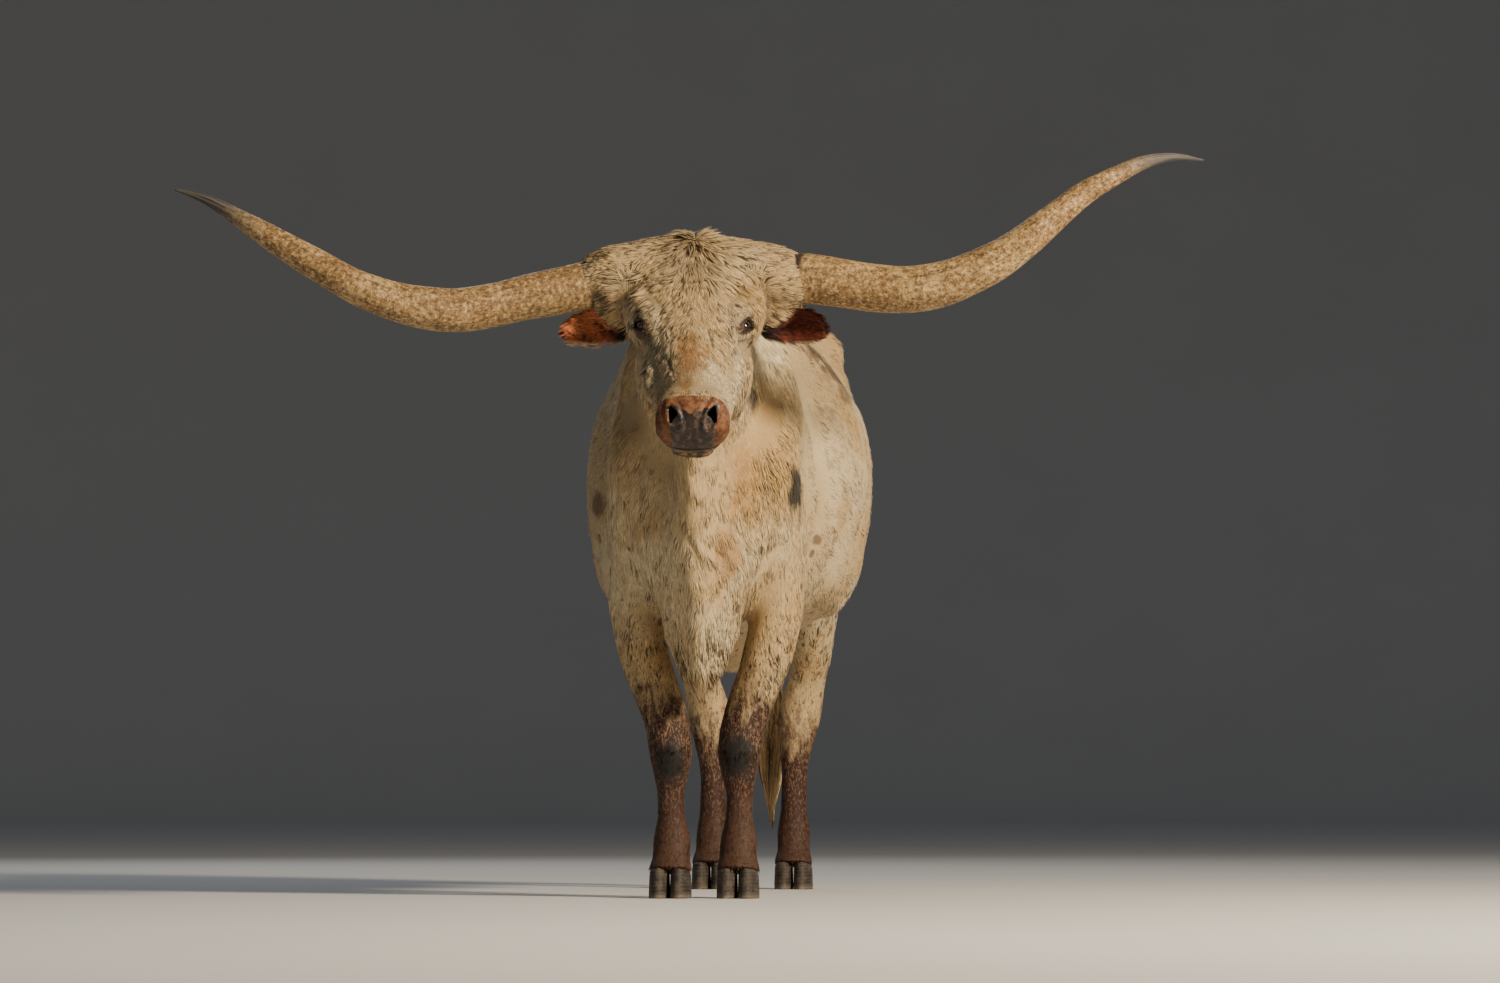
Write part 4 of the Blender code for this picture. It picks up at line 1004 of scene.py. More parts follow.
def coat_regions(hide):
    """The coat's pieces: their triangles, number of tufts, rings of each, and the axis of their map."""
    x, y, z = hide.centres.T
    view = HeadView(hide.centres)
    on_face = view.on > 0.5
    ears = ear_share(hide.centres) > 0.5
    poll = on_face & (view.z > 1.335) & ~ears
    face = on_face & ~poll & ~ears
    body = ~on_face & ~ears
    tail = body & (y > 1.0) & (np.abs(x) < 0.052) & (z < 1.40) & ((y > 1.035) | (z < 1.0))
    fore = (y < 0.0) & (np.abs(x) > 0.02) & (z < 0.60)
    limbs = body & ~tail & (fore | ((y > 0.55) & (z < 0.72)))
    trunk = body & ~tail & ~limbs
    barrel = trunk & (y >= SHOULDERS_BACK) & (y < BARREL_BACK)
    middle, back = (0, 0.2, 0.95), (0, 1, 0)
    nose = tuple(on_head(0, 0.2, -0.06))
    left = view.side > 0
    crown = tuple(on_head(0, 0.04, -0.02))
    return [
        ("coat_poll_left", poll & left, 10500, 3, crown, ACROSS, False),
        ("coat_poll_right", poll & ~left, 10500, 3, crown, ACROSS, False),
        ("coat_face_left", face & left, 12500, 2, nose, ALONG, False),
        ("coat_face_right", face & ~left, 12500, 2, nose, ALONG, False),
        ("coat_ears", ears, 3600, 3, tuple(on_head(0, 0.1, -0.1)), ACROSS, False),
        ("coat_neck", trunk & (y < NECK_BACK), 17000, 2, (0, -0.55, 1.0), (0, 0.2, -1), False),
        ("coat_shoulders", trunk & (y >= NECK_BACK) & (y < SHOULDERS_BACK), 14000, 2, middle, back, False),
        ("coat_barrel_left", barrel & (x > 0), 8800, 2, middle, back, False),
        ("coat_barrel_right", barrel & (x <= 0), 8800, 2, middle, back, False),
        ("coat_rump", trunk & (y >= BARREL_BACK), 8800, 2, middle, back, False),
        ("coat_forelegs", limbs & (y < 0.3), 9800, 2, (0.08, -0.34, 0.3), (0, 0, 1), True),
        ("coat_hindlegs", limbs & (y >= 0.3), 8600, 2, (0.12, 0.92, 0.3), (0, 0, 1), True),
        ("coat_tail", tail, 2200, 3, (0.01, 1.07, 1.0), (0, 0, 1), False),
    ]


def make_coat(hide, rng):
    return [coat_piece(hide, rng, *region) for region in coat_regions(hide)]


# The tail's switch
SWITCH = [  # x, y, z and half width of the bundle
    (0.024, 1.062, 0.660, 0.018),
    (0.024, 1.061, 0.600, 0.026),
    (0.026, 1.060, 0.520, 0.034),
    (0.029, 1.059, 0.440, 0.036),
    (0.032, 1.057, 0.350, 0.032),
    (0.035, 1.055, 0.260, 0.024),
    (0.038, 1.053, 0.150, 0.012),
]
SWITCH_CLUMPS = 22
SWITCH_STRANDS = 60  # in each clump
SWITCH_TURN = 2.4  # from one clump to the next, in radians
SWITCH_TOP = 0.655
SWITCH_FOOT = 0.145
SWITCH_SHAPE = [0.6, 0.9, 1.0, 1.0, 0.9, 0.8, 0.6, 0.4]  # share of a strand's width at each ring


def make_switch(rng):
    """Long wavy strands in clumps that cross round the end of the tail."""
    rows = np.array(SWITCH)[::-1]
    rings = len(SWITCH_SHAPE)
    lines = []
    for clump in range(SWITCH_CLUMPS):
        turn = clump * SWITCH_TURN
        top = SWITCH_TOP - 0.30 * (clump / SWITCH_CLUMPS) ** 0.9
        foot = rng.uniform(SWITCH_FOOT, 0.30 if clump % 3 else 0.19)
        swing, wave = rng.uniform(-0.9, 0.9), rng.uniform(1.5, 3.0)
        for _ in range(SWITCH_STRANDS):
            start = top + rng.uniform(-0.03, 0.02)
            end = foot + abs(rng.normal(0, 0.030))
            around, spread = rng.normal(0, 0.28), rng.uniform(0.25, 1.0) ** 0.5
            line = []
            for step in range(rings + 1):
                share = step / rings
                z = start + (end - start) * share
                x, y, radius = (np.interp(z, rows[:, 2], rows[:, k]) for k in (0, 1, 3))
                bow = radius * spread * (0.45 + 0.65 * math.sin(math.pi * min(1, 0.12 + share)))
                angle = turn + swing * share + around * (1 - 0.4 * share)
                angle += 0.16 * math.sin(wave * share * math.pi)
                line.append((x + math.cos(angle) * bow, y + math.sin(angle) * bow, z))
            lines.append(line)
    centres = np.array(lines)
    count = len(centres)
    middle = np.array([np.interp(centres[:, :, 2], rows[:, 2], rows[:, k]) for k in (0, 1)])
    outs = np.zeros_like(centres)
    outs[:, :, 0] = centres[:, :, 0] - middle[0]
    outs[:, :, 1] = centres[:, :, 1] - middle[1]
    outs /= np.linalg.norm(outs, axis=2)[:, :, None] + 1e-9
    widths = rng.uniform(0.0009, 0.0019, (count, 1)) * np.array(SWITCH_SHAPE)
    roots = centres[:, 0] + 0.2 * (centres[:, 4] - centres[:, 0])
    spots = unwrap(roots, (0.027, 1.06, 0.4), (0, 0, 1))
    mesh = locks_mesh("tail_hair", centres, outs, widths, widths * 0.7, spots, rng)
    return new_object("tail_hair", mesh)


# Horns
HORNS = {  # side, z, radius of the centre line's points from the root to the tip
    "left": [
        (0.222, 1.3950, 0.0520),
        (0.243, 1.3926, 0.0545),
        (0.323, 1.3800, 0.0545),
        (0.403, 1.3667, 0.0540),
        (0.478, 1.3620, 0.0530),
        (0.550, 1.3720, 0.0500),
        (0.619, 1.3970, 0.0465),
        (0.682, 1.4284, 0.0430),
        (0.744, 1.4720, 0.0378),
        (0.807, 1.5240, 0.0312),
        (0.869, 1.5737, 0.0262),
        (0.932, 1.6096, 0.0215),
        (0.994, 1.6414, 0.0165),
        (1.044, 1.6560, 0.0112),
        (1.088, 1.6590, 0.0070),
        (1.139, 1.6530, 0.0022),
    ],
    "right": [
        (0.222, 1.3780, 0.0510),
        (0.249, 1.3725, 0.0530),
        (0.315, 1.3580, 0.0520),
        (0.382, 1.3436, 0.0505),
        (0.450, 1.3260, 0.0495),
        (0.518, 1.3147, 0.0490),
        (0.581, 1.3158, 0.0477),
        (0.659, 1.3300, 0.0440),
        (0.748, 1.3614, 0.0390),
        (0.837, 1.4115, 0.0350),
        (0.931, 1.4675, 0.0290),
        (1.007, 1.5150, 0.0210),
        (1.074, 1.5550, 0.0128),
        (1.121, 1.5750, 0.0072),
        (1.162, 1.5875, 0.0022),
    ],
}
HORN_DEPTH = [(0.20, 0.0), (0.35, -0.02), (0.55, -0.06), (0.75, -0.09), (0.95, -0.07), (1.17, -0.02)]
HORN_BASE = 0.056  # the root lies this far ahead of the head's root
HORN_SIDES = 64
GRAIN_RADIUS = 0.05  # of the horn on the map that its grain follows
ROOT_RING = 0.016  # length of one ring at the horn's root
RINGED = 0.22  # length of the part of the horn that has them


def make_horn(word, side):
    """One horn with its long flats, swellings and root rings; grain holds each point's place on it."""
    sides, depths = zip(*HORN_DEPTH)
    stations = []
    for across, z, radius in HORNS[word]:
        centre = HEAD_ROOT + ACROSS * side * across + AHEAD * (HORN_BASE - np.interp(across, sides, depths))
        stations.append((centre.x, centre.y, z, radius))
    rows = eased(stations, 12)
    runs = unit(np.gradient(rows[:, :3], axis=0))
    along = np.append(0, np.cumsum(np.linalg.norm(np.diff(rows[:, :3], axis=0), axis=1)))
    rng = np.random.default_rng(40 + side)
    phase = rng.uniform(0, 6.28, 4)
    points, grain = [], []
    up = np.array(UP)
    around = turns(HORN_SIDES)
    for row, run, far in zip(rows, runs, along):
        across = unit([np.cross(run, up)])[0]
        up = np.cross(across, run)
        lean = far * 1.3
        flats = 0.010 * np.sin(3 * around + phase[0] + lean) + 0.007 * np.sin(5 * around + phase[1] - lean)
        swell = 0.012 * math.sin(far * 19 + phase[2]) + 0.008 * math.sin(far * 47 + phase[3])
        rings = 0.006 * math.sin(far * 2 * math.pi / ROOT_RING + 2 * math.sin(far * 60))
        rings *= max(0.0, 1 - far / RINGED)
        radius = row[3] * (1 + flats + swell + rings)
        out = np.cos(around)[:, None] * across + np.sin(around)[:, None] * up
        points.append(row[:3] + out * radius[:, None])
        flat = [np.cos(around) * GRAIN_RADIUS, np.sin(around) * GRAIN_RADIUS, np.full(HORN_SIDES, far)]
        grain.append(np.stack(flat, 1))
    mesh = skin_rings([[Vector(p) for p in ring] for ring in points])
    layer = mesh.attributes.new("grain", "FLOAT_VECTOR", "POINT")
    layer.data.foreach_set("vector", np.concatenate(grain).astype(np.float32).ravel())
    put_values(mesh, {"towards_tip": np.repeat(along / along[-1], HORN_SIDES)})
    mesh.shade_smooth()
    mesh.name = f"horn_{word}_surface"
    return new_object(f"horn_{word}_surface", mesh)


# Eyes, lashes and hooves
CORNEA = 0.035  # how far it stands out, of the eye's radius


def make_eye(word, side):
    """The ball with its raised cornea; the map Iris has the pupil at its middle."""
    out, slit, up = (np.array(axis) for axis in eye_axes(side))
    mesh = egg((0, 0, 0), [EYE_RADIUS] * 3, count=64)
    points = points_of(mesh)
    ahead = points @ out
    bulge = 1 + CORNEA * ramp(ahead / EYE_RADIUS, 0.72, 1.0)
    flat = np.stack([points @ slit, points @ up], 1) / (2 * EYE_RADIUS) + 0.5
    put_map(mesh, "Iris", flat)
    set_points(mesh, points * bulge[:, None] + np.array(eye_centre(side)))
    mesh.shade_smooth()
    mesh.name = f"eye_{word}_ball"
    return new_object(f"eye_{word}_ball", mesh)


LASHES = 58  # on each eye
LASH_WIDE = 0.00032
LID_OUT = 0.0255  # from the eye's middle to the lashes' roots


def make_lashes(rng):
    """Dark lashes, long on the upper lid and short on the lower."""
    lines, outs = [], []
    for side in (1, -1):
        out, slit, up = (np.array(axis) for axis in eye_axes(side))
        centre = np.array(eye_centre(side))
        for index in range(LASHES):
            upper = index < 0.72 * LASHES
            turn = rng.uniform(0.10, 0.92) * math.pi * (1 if upper else -1)
            along, rise = lid_edge(turn, 1.06)
            ahead = math.sqrt(max(0.0, LID_OUT**2 - along**2 - rise**2))
            root = centre + out * ahead + slit * along + up * rise
            long = rng.uniform(0.013, 0.019) if upper else rng.uniform(0.006, 0.009)
            way = out * 0.75 + slit * (along / EYE_OPEN[0]) * 0.5 + up * (0.12 if upper else -0.5)
            line = [root - out * 0.002]
            for step in range(4):
                curve = up * (0.30 * step if upper else -0.15 * step)
                go = way + curve + rng.normal(0, 0.06, 3)
                line.append(line[-1] + go / np.linalg.norm(go) * long / 4)
            lines.append(line)
            outs.append([up] * 5)
    centres = np.array(lines)
    wide = np.full((len(lines), 1), LASH_WIDE) * np.array([1.2, 1.1, 0.9, 0.6])
    spots = unwrap(centres[:, 0], on_head(0, 0.2, -0.06), ALONG)
    return new_object("lashes", locks_mesh("lashes", centres, np.array(outs), wide, wide, spots, rng))


HOOF_VOXEL = 0.0033
HOOF_RING = 0.0085  # height of one growth ring of the hoof's wall


def make_hooves():
    """The claws and dewclaws, rounded from their solids, with growth rings in the wall."""
    names = [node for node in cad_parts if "claw" in node]
    joined = bmesh.new()
    for node in names:
        bm = bmesh.new()
        bm.from_mesh(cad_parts[node].data)
        bmesh.ops.remove_doubles(bm, verts=bm.verts, dist=1e-6)
        claw = object_of(bm, "claw")
        mesh = remeshed(claw, HOOF_VOXEL)
        points = smoothed(points_of(mesh), edges_of(mesh), 7, np.ones(len(mesh.vertices)))
        on_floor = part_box(node)[0][2] < 0.002
        points = (points - points.mean(0)) * 1.02 + points.mean(0)
        set_points(mesh, points)
        normals = normals_of(mesh)
        wall = ramp(-np.abs(normals[:, 2]), -0.8, -0.5)
        drift = points[:, 2] - 0.25 * points[:, 1]
        rings = np.sin(drift * 2 * math.pi / HOOF_RING + waves(points, 0.03, 51))
        points += normals * (wall * 0.00035 * rings)[:, None]
        if on_floor:
            points[:, 2] = np.maximum(points[:, 2], 0.0)
            points[points[:, 2] < 0.0035, 2] = 0.0
        set_points(mesh, points)
        joined.from_mesh(mesh)
        bpy.data.objects.remove(claw)
        bpy.data.meshes.remove(mesh)
    bmesh.ops.triangulate(joined, faces=joined.faces)
    hooves = object_of(joined, "hooves")
    hooves.data.shade_smooth()
    return hooves, names


# Nodes
class Tree:
    """Adds nodes to the tree of a material or a group and joins their sockets."""

    def __init__(self, tree):
        self.tree = tree

    def add(self, kind, inputs=None, **settings):
        node = self.tree.nodes.new(kind)
        for key, value in settings.items():
            setattr(node, key, value)
        for key, value in (inputs or {}).items():
            self.feed(node.inputs[key], value)
        return node

    def feed(self, socket, value):
        if isinstance(value, bpy.types.NodeSocket):
            self.tree.links.new(value, socket)
        elif socket.type == "RGBA" and len(value) == 3:
            socket.default_value = (*value, 1)
        else:
            socket.default_value = value

    def math(self, operation, a, b=0.0, clamp=False):
        return self.add("ShaderNodeMath", {0: a, 1: b}, operation=operation, use_clamp=clamp).outputs[0]

    def times(self, a, b):
        return self.math("MULTIPLY", a, b)

    def plus(self, a, b):
        return self.math("ADD", a, b)

    def minus(self, a, b):
        return self.math("SUBTRACT", a, b)

    def vector(self, operation, a, b=(0, 0, 0)):
        node = self.add("ShaderNodeVectorMath", {0: a, 1: b}, operation=operation)
        return node.outputs["Value" if operation in ("LENGTH", "DOT_PRODUCT") else "Vector"]

    def ramp(self, value, low, high, start=0.0, end=1.0):
        inputs = {0: value, 1: low, 2: high, 3: start, 4: end}
        return self.add("ShaderNodeMapRange", inputs, interpolation_type="SMOOTHSTEP").outputs[0]

    def noise(self, point, scale, detail=3.0, rough=0.55, twist=0.0):
        inputs = {"Vector": point, "Scale": scale, "Detail": detail, "Roughness": rough, "Distortion": twist}
        return self.add("ShaderNodeTexNoise", inputs).outputs[0]

    def cells(self, point, scale):
        return self.add("ShaderNodeTexVoronoi", {"Vector": point, "Scale": scale}).outputs

    def mix(self, share, a, b):
        return self.add("ShaderNodeMix", {0: share, 6: a, 7: b}, data_type="RGBA").outputs[2]

    def scaled(self, color, factor):
        node = self.add("ShaderNodeVectorMath", {0: color, "Scale": factor}, operation="SCALE")
        return node.outputs["Vector"]

    def axis(self, point, axis):
        return self.vector("DOT_PRODUCT", point, tuple(axis))

    def attribute(self, name, output="Fac"):
        return self.add("ShaderNodeAttribute", attribute_name=name).outputs[output]

    def point(self):
        return self.add("ShaderNodeTexCoord").outputs["Object"]

    def group(self, tree, inputs):
        node = self.add("ShaderNodeGroup", node_tree=tree)
        for key, value in inputs.items():
            self.feed(node.inputs[key], value)
        return node.outputs


def new_group(name, inputs, outputs):
    """An empty node group with named sockets: its tree, its inputs and its outputs."""
    tree = bpy.data.node_groups.new(name, "ShaderNodeTree")
    for title, kind in inputs:
        tree.interface.new_socket(title, in_out="INPUT", socket_type="NodeSocket" + kind)
    for title, kind in outputs:
        tree.interface.new_socket(title, in_out="OUTPUT", socket_type="NodeSocket" + kind)
    wires = Tree(tree)
    return wires, wires.add("NodeGroupInput").outputs, wires.add("NodeGroupOutput").inputs


def new_material(name, **constants):
    """A material with one Principled shader, its constant values set on the shader's sockets."""
    material = bpy.data.materials.new(name)
    material.use_nodes = True
    shader = material.node_tree.nodes["Principled BSDF"]
    wires = Tree(material.node_tree)
    for title, value in constants.items():
        wires.feed(shader.inputs[title.replace("_", " ").title().replace("Ior", "IOR")], value)
    return material, wires, shader.inputs


def bump(wires, height, distance):
    return wires.add("ShaderNodeBump", {"Height": height, "Distance": distance, "Strength": 1.0}).outputs[0]


# Colours
CREAM = (0.58, 0.410, 0.205)
PALE = (0.70, 0.565, 0.350)
STRAW = (0.54, 0.335, 0.125)
TAN = (0.35, 0.165, 0.050)
BROWN = (0.085, 0.038, 0.019)
BLACK = (0.012, 0.010, 0.009)
RUST = (0.046, 0.0105, 0.0034)
TAUPE = (0.24, 0.165, 0.095)
FLECK = (0.150, 0.062, 0.032)
GRIZZLE = (0.32, 0.215, 0.130)  # white hairs among the rust
# Painted light: the ear's red comes in a shaded and a lit copy; the black at the ear's root is dark hair with
# painted shade.
EAR_SHADED, EAR_LIT = (0.130, 0.022, 0.008), (0.62, 0.190, 0.070)
EAR_BLOTCH, EAR_ROOT_HAIR_AND_SHADE, EAR_RIM = (0.085, 0.016, 0.008), (0.012, 0.010, 0.010), (0.62, 0.46, 0.30)
MUZZLE_RIM = (0.205, 0.082, 0.028), (0.085, 0.028, 0.012)  # this pair and the next blotch together
MUZZLE_PLATE = (0.020, 0.014, 0.012), (0.105, 0.066, 0.048)
LIPS = (0.23, 0.135, 0.045), (0.025, 0.016, 0.012)
LIDS = (0.012, 0.008, 0.008), (0.050, 0.022, 0.016)
# The second colour is painted shade: near-black inside the nostrils and along the mouth's line.
TEAR_CORNER, OPENING_SHADE = (0.095, 0.032, 0.022), (0.006, 0.004, 0.004)
HORN_TANS = (0.285, 0.165, 0.060), (0.46, 0.30, 0.125)
HORN_STREAK, HORN_SPECK, HORN_PALE = (0.085, 0.046, 0.020), (0.060, 0.031, 0.013), (0.74, 0.56, 0.31)
HORN_RING, HORN_ROOT_EDGE = (0.15, 0.095, 0.055), (0.05, 0.035, 0.025)
HORN_TIP = (0.028, 0.028, 0.030), (0.16, 0.14, 0.12)
HOOF_DARKS = (0.030, 0.024, 0.020), (0.082, 0.064, 0.050)
HOOF_CRACK, HOOF_PALE, HOOF_DUST = (0.022, 0.017, 0.014), (0.12, 0.095, 0.074), (0.20, 0.16, 0.115)
IRIS = (0.012, 0.006, 0.004), (0.040, 0.018, 0.009)
PUPIL, IRIS_EDGE = (0.003, 0.003, 0.004), (0.010, 0.007, 0.006)
EYE_WHITE = (0.11, 0.075, 0.060), (0.12, 0.040, 0.030)
LASH_BROWNS = (0.010, 0.008, 0.007), (0.055, 0.032, 0.020)
FLOOR_GREYS = (0.66, 0.655, 0.64), (0.72, 0.715, 0.70)

MARKINGS = [  # centre, radii, colour and strength of each patch of the coat
    ((0.070, -0.570, 0.792), (0.032, 0.120, 0.078), TAN, 0.66),
    ((0.112, -0.530, 0.955), (0.036, 0.120, 0.080), TAN, 0.66),
    ((0.160, -0.480, 1.030), (0.070, 0.160, 0.140), STRAW, 0.72),
    ((0.217, -0.405, 0.930), (0.019, 0.070, 0.052), BLACK, 0.95),
    ((0.128, -0.570, 1.125), (0.016, 0.100, 0.040), BLACK, 0.85),
    ((0.215, 0.130, 1.296), (0.042, 0.130, 0.030), BROWN, 0.85),
    ((0.255, 0.180, 1.250), (0.026, 0.130, 0.040), BROWN, 0.80),
    ((0.285, 0.190, 1.200), (0.018, 0.120, 0.050), BROWN, 0.60),
    ((0.240, -0.105, 0.834), (0.011, 0.030, 0.012), BROWN, 0.70),
    ((-0.289, -0.040, 0.925), (0.030, 0.070, 0.030), BROWN, 0.75),
    ((-0.291, -0.100, 0.800), (0.030, 0.060, 0.022), BROWN, 0.80),
    ((-0.250, -0.150, 1.060), (0.035, 0.080, 0.030), BROWN, 0.60),
    ((0.270, -0.100, 1.110), (0.050, 0.120, 0.050), TAUPE, 0.40),
    ((-0.330, 0.420, 1.020), (0.060, 0.110, 0.080), BROWN, 0.50),
    ((0.330, 0.520, 0.930), (0.050, 0.100, 0.060), BROWN, 0.50),
    ((-0.230, 0.860, 1.180), (0.090, 0.100, 0.090), TAN, 0.45),
    ((0.230, 0.840, 1.120), (0.080, 0.080, 0.080), TAN, 0.55),
    ((0.0, 0.250, 1.400), (0.100, 0.420, 0.060), STRAW, 0.45),
    (tuple(on_head(-0.004, 0.400, 0.070)), (0.034, 0.110, 0.075), TAN, 0.85),
    (tuple(on_head(-0.010, 0.100, 0.090)), (0.075, 0.070, 0.080), TAUPE, 0.50),
    (tuple(on_head(0.105, 0.165, 0.060)), (0.048, 0.060, 0.045), STRAW, 0.62),
    (tuple(on_head(-0.105, 0.165, 0.060)), (0.045, 0.060, 0.040), STRAW, 0.45),
    (tuple(on_head(0.060, 0.330, 0.060)), (0.040, 0.060, 0.080), STRAW, 0.60),
    # Painted light: a pale patch that lifts the shade on the cheek at the head's right.
    (tuple(on_head(-0.082, 0.340, 0.020)), (0.036, 0.120, 0.080), PALE, 0.90),
    (tuple(on_head(-0.010, 0.250, 0.090)), (0.060, 0.080, 0.080), STRAW, 0.45),
    (tuple(on_head(0.000, -0.002, 0.055)), (0.015, 0.024, 0.015), BLACK, 0.70),
    # Between ear and eye on the head's right, and round both eyes: dark hair with painted shade of the
    # hollows, stronger on the shaded right.
    ((-0.190, -0.820, 1.335), (0.020, 0.060, 0.030), BLACK, 0.65),
    (tuple(eye_centre(1)), (0.034, 0.034, 0.030), BROWN, 0.62),
    (tuple(eye_centre(-1)), (0.038, 0.038, 0.034), BROWN, 0.80),
]
KNEES = [
    ((-0.076, -0.405, 0.308), (0.042, 0.050, 0.056)),
    ((0.0805, -0.405, 0.3235), (0.048, 0.050, 0.054)),
]
SOCKS = (0.33, 0.50)  # heights between which the legs turn from rust to cream
HAIR_STREAK = (0.0015, 0.024)  # width and length of the streaks under the coat


def patch(wires, point, centre, radii, strength, frayed):
    """How far a point lies in a patch, the patch's edge frayed by noise."""
    off = wires.vector("DIVIDE", wires.vector("SUBTRACT", point, centre), radii)
    far = wires.plus(wires.vector("LENGTH", off), frayed)
    return wires.ramp(far, 1.32, 0.48, 0.0, strength)


def markings_group():
    """The colour of the coat at a point: cream with tints, patches, flecks and grizzled rust legs."""
    wires, given, put = new_group("Markings", [("Point", "Vector")], [("Color", "Color")])
    point = given["Point"]
    streaky = wires.vector("MULTIPLY", point, (1.0, 0.55, 0.38))
    edge = wires.minus(wires.noise(streaky, 42.0, 4.0, 0.65, 0.5), 0.5)
    broad = wires.ramp(wires.noise(point, 2.6, 3.0), 0.42, 0.70)
    color = wires.mix(broad, CREAM, PALE)
    tint = wires.times(wires.ramp(wires.noise(point, 7.5, 4.0), 0.48, 0.70), 0.62)
    color = wires.mix(tint, color, STRAW)
    grey = wires.times(wires.ramp(wires.noise(point, 19.0, 3.0), 0.56, 0.74), 0.30)
    color = wires.mix(grey, color, TAUPE)
    wander = wires.times(wires.minus(wires.noise(point, 13.0, 2.0), 0.5), 1.7)
    frayed = wires.plus(wires.times(edge, 1.9), wander)
    for centre, radii, tone, strength in MARKINGS:
        color = wires.mix(patch(wires, point, centre, radii, strength, frayed), color, tone)
    height = wires.axis(point, (0, 0, 1))
    cell = wires.cells(point, 21.0)
    size = wires.times(wires.axis(cell["Color"], (1, 0, 0)), 0.30)
    fleck = wires.ramp(wires.minus(cell["Distance"], size), 0.02, -0.06)
    chosen = wires.ramp(wires.axis(cell["Color"], (0, 1, 0)), 0.58, 0.62)
    low = wires.ramp(height, 1.15, 0.75, 0.22, 1.0)
    share = wires.times(wires.times(fleck, chosen), low)
    color = wires.mix(wires.times(share, 0.72), color, BROWN)
    front = wires.ramp(wires.axis(point, (0, 1, 0)), 0.2, -0.1, 0.0, 0.060)
    drift = wires.minus(wires.plus(height, wires.times(edge, 0.42)), front)
    sock = wires.ramp(drift, SOCKS[1], SOCKS[0])
    white = wires.ramp(wires.noise(streaky, 270.0, 3.0, 0.7), 0.49, 0.60)
    white = wires.times(white, wires.ramp(height, 0.10, 0.46, 0.26, 0.66))
    leg = wires.mix(white, RUST, GRIZZLE)
    leg = wires.mix(wires.ramp(drift, 0.20, 0.07, 0.0, 0.70), leg, BROWN)
    ink = wires.ramp(wires.noise(streaky, 190.0, 3.0, 0.7), 0.51, 0.62, 0.0, 0.80)
    leg = wires.mix(ink, leg, BLACK)
    aside = wires.ramp(wires.math("ABSOLUTE", wires.axis(point, (1, 0, 0))), 0.012, 0.035)
    limb = wires.times(aside, wires.ramp(wires.axis(point, (0, 1, 0)), 1.045, 1.020))
    speck = wires.ramp(wires.noise(streaky, 210.0, 2.0, 0.6), 0.57, 0.66)
    speck = wires.times(speck, wires.ramp(drift, 0.76, 0.50, 0.0, 0.85))
    color = wires.mix(wires.times(speck, limb), color, FLECK)
    color = wires.mix(wires.times(sock, limb), color, leg)
    round_edge = wires.times(edge, 0.9)
    for centre, radii in KNEES:
        color = wires.mix(patch(wires, point, centre, radii, 1.0, round_edge), color, BLACK)
    wires.feed(put["Color"], color)
    return wires.tree


def ear_group():
    """The ear's colour: orange-red inside, painted lit on the ear at the head's right and shaded on the
    other, black near its root from dark hair and painted shade, paler along the lower rim.
    """
    wires, given, put = new_group("Ear colours", [("Point", "Vector")], [("Color", "Color")])
    off = wires.vector("SUBTRACT", given["Point"], tuple(HEAD_ROOT))
    side = wires.axis(off, ACROSS)
    reach = wires.math("ABSOLUTE", side)
    blotch = wires.noise(given["Point"], 38.0, 4.0, 0.6)
    # Painted light: the ear at the head's right gets the lit red, the other ear the shaded red.
    lit_ear_share = wires.ramp(side, 0.05, -0.05)
    red = wires.mix(lit_ear_share, EAR_SHADED, EAR_LIT)
    red = wires.mix(wires.ramp(blotch, 0.50, 0.70, 0.0, 0.8), red, EAR_BLOTCH)
    root = wires.plus(reach, wires.times(wires.minus(blotch, 0.5), 0.10))
    height = wires.axis(off, (0, 0, 1))
    lift = wires.times(wires.ramp(height, -0.13, -0.08), 0.045)
    # Black near the root: dark hair with painted shade in the ear's hollow.
    red = wires.mix(wires.ramp(wires.minus(root, lift), 0.205, 0.165), red, EAR_ROOT_HAIR_AND_SHADE)
    rim = wires.ramp(wires.plus(height, wires.times(blotch, 0.012)), -0.158, -0.168)
    red = wires.mix(wires.times(rim, 0.75), red, EAR_RIM)
    wires.feed(put["Color"], red)
    return wires.tree


def strands_group():
    """Fine hairs in each tuft, from its own map: a shade for each hair, its height and the root's shadow."""
    inputs = [("Map", "Vector"), ("Along", "Float"), ("Shade", "Float"), ("Dark", "Float"), ("Root", "Float")]
    wires, given, put = new_group("Strands", inputs, [("Value", "Float"), ("Height", "Float")])
    stretched = wires.vector("MULTIPLY", given["Map"], (6.5, 0.8, 1.0))
    hairs = wires.noise(stretched, 1.0, 2.0, 0.65)
    lines = wires.ramp(hairs, 0.36, 0.62)
    root = wires.ramp(given["Along"], 0.0, 0.70, given["Root"], 1.0)
    each = wires.plus(wires.times(given["Shade"], 0.60), 0.72)
    pale = wires.minus(given["Shade"], given["Dark"])
    each = wires.times(each, wires.ramp(pale, -0.08, 0.07, 0.24, 1.0))
    streak = wires.plus(wires.times(lines, 0.62), 0.52)
    value = wires.times(wires.times(root, each), streak)
    wires.feed(put["Value"], value)
    wires.feed(put["Height"], hairs)
    return wires.tree


HAIRS = {  # colours, brightness, share of dark hairs, brightness at the root, and shine
    "coat": ("Markings", 1.04, 0.14, 0.62, 1.0),
    "head_coat": ("Markings", 1.00, 0.30, 0.40, 1.0),
    "leg_coat": ("Markings", 1.04, 0.32, 0.40, 0.35),
    "long_hair": ("Markings", 1.40, 0.12, 0.50, 1.0),
    "ear_hair": ("Ear colours", 1.25, 0.24, 0.40, 1.0),
}
HAIR_OF = {  # by the second word of a coat piece's name, where it isn't the coat's
    "ears": "ear_hair",
    "poll": "head_coat",
    "face": "head_coat",
    "forelegs": "leg_coat",
    "hindlegs": "leg_coat",
}


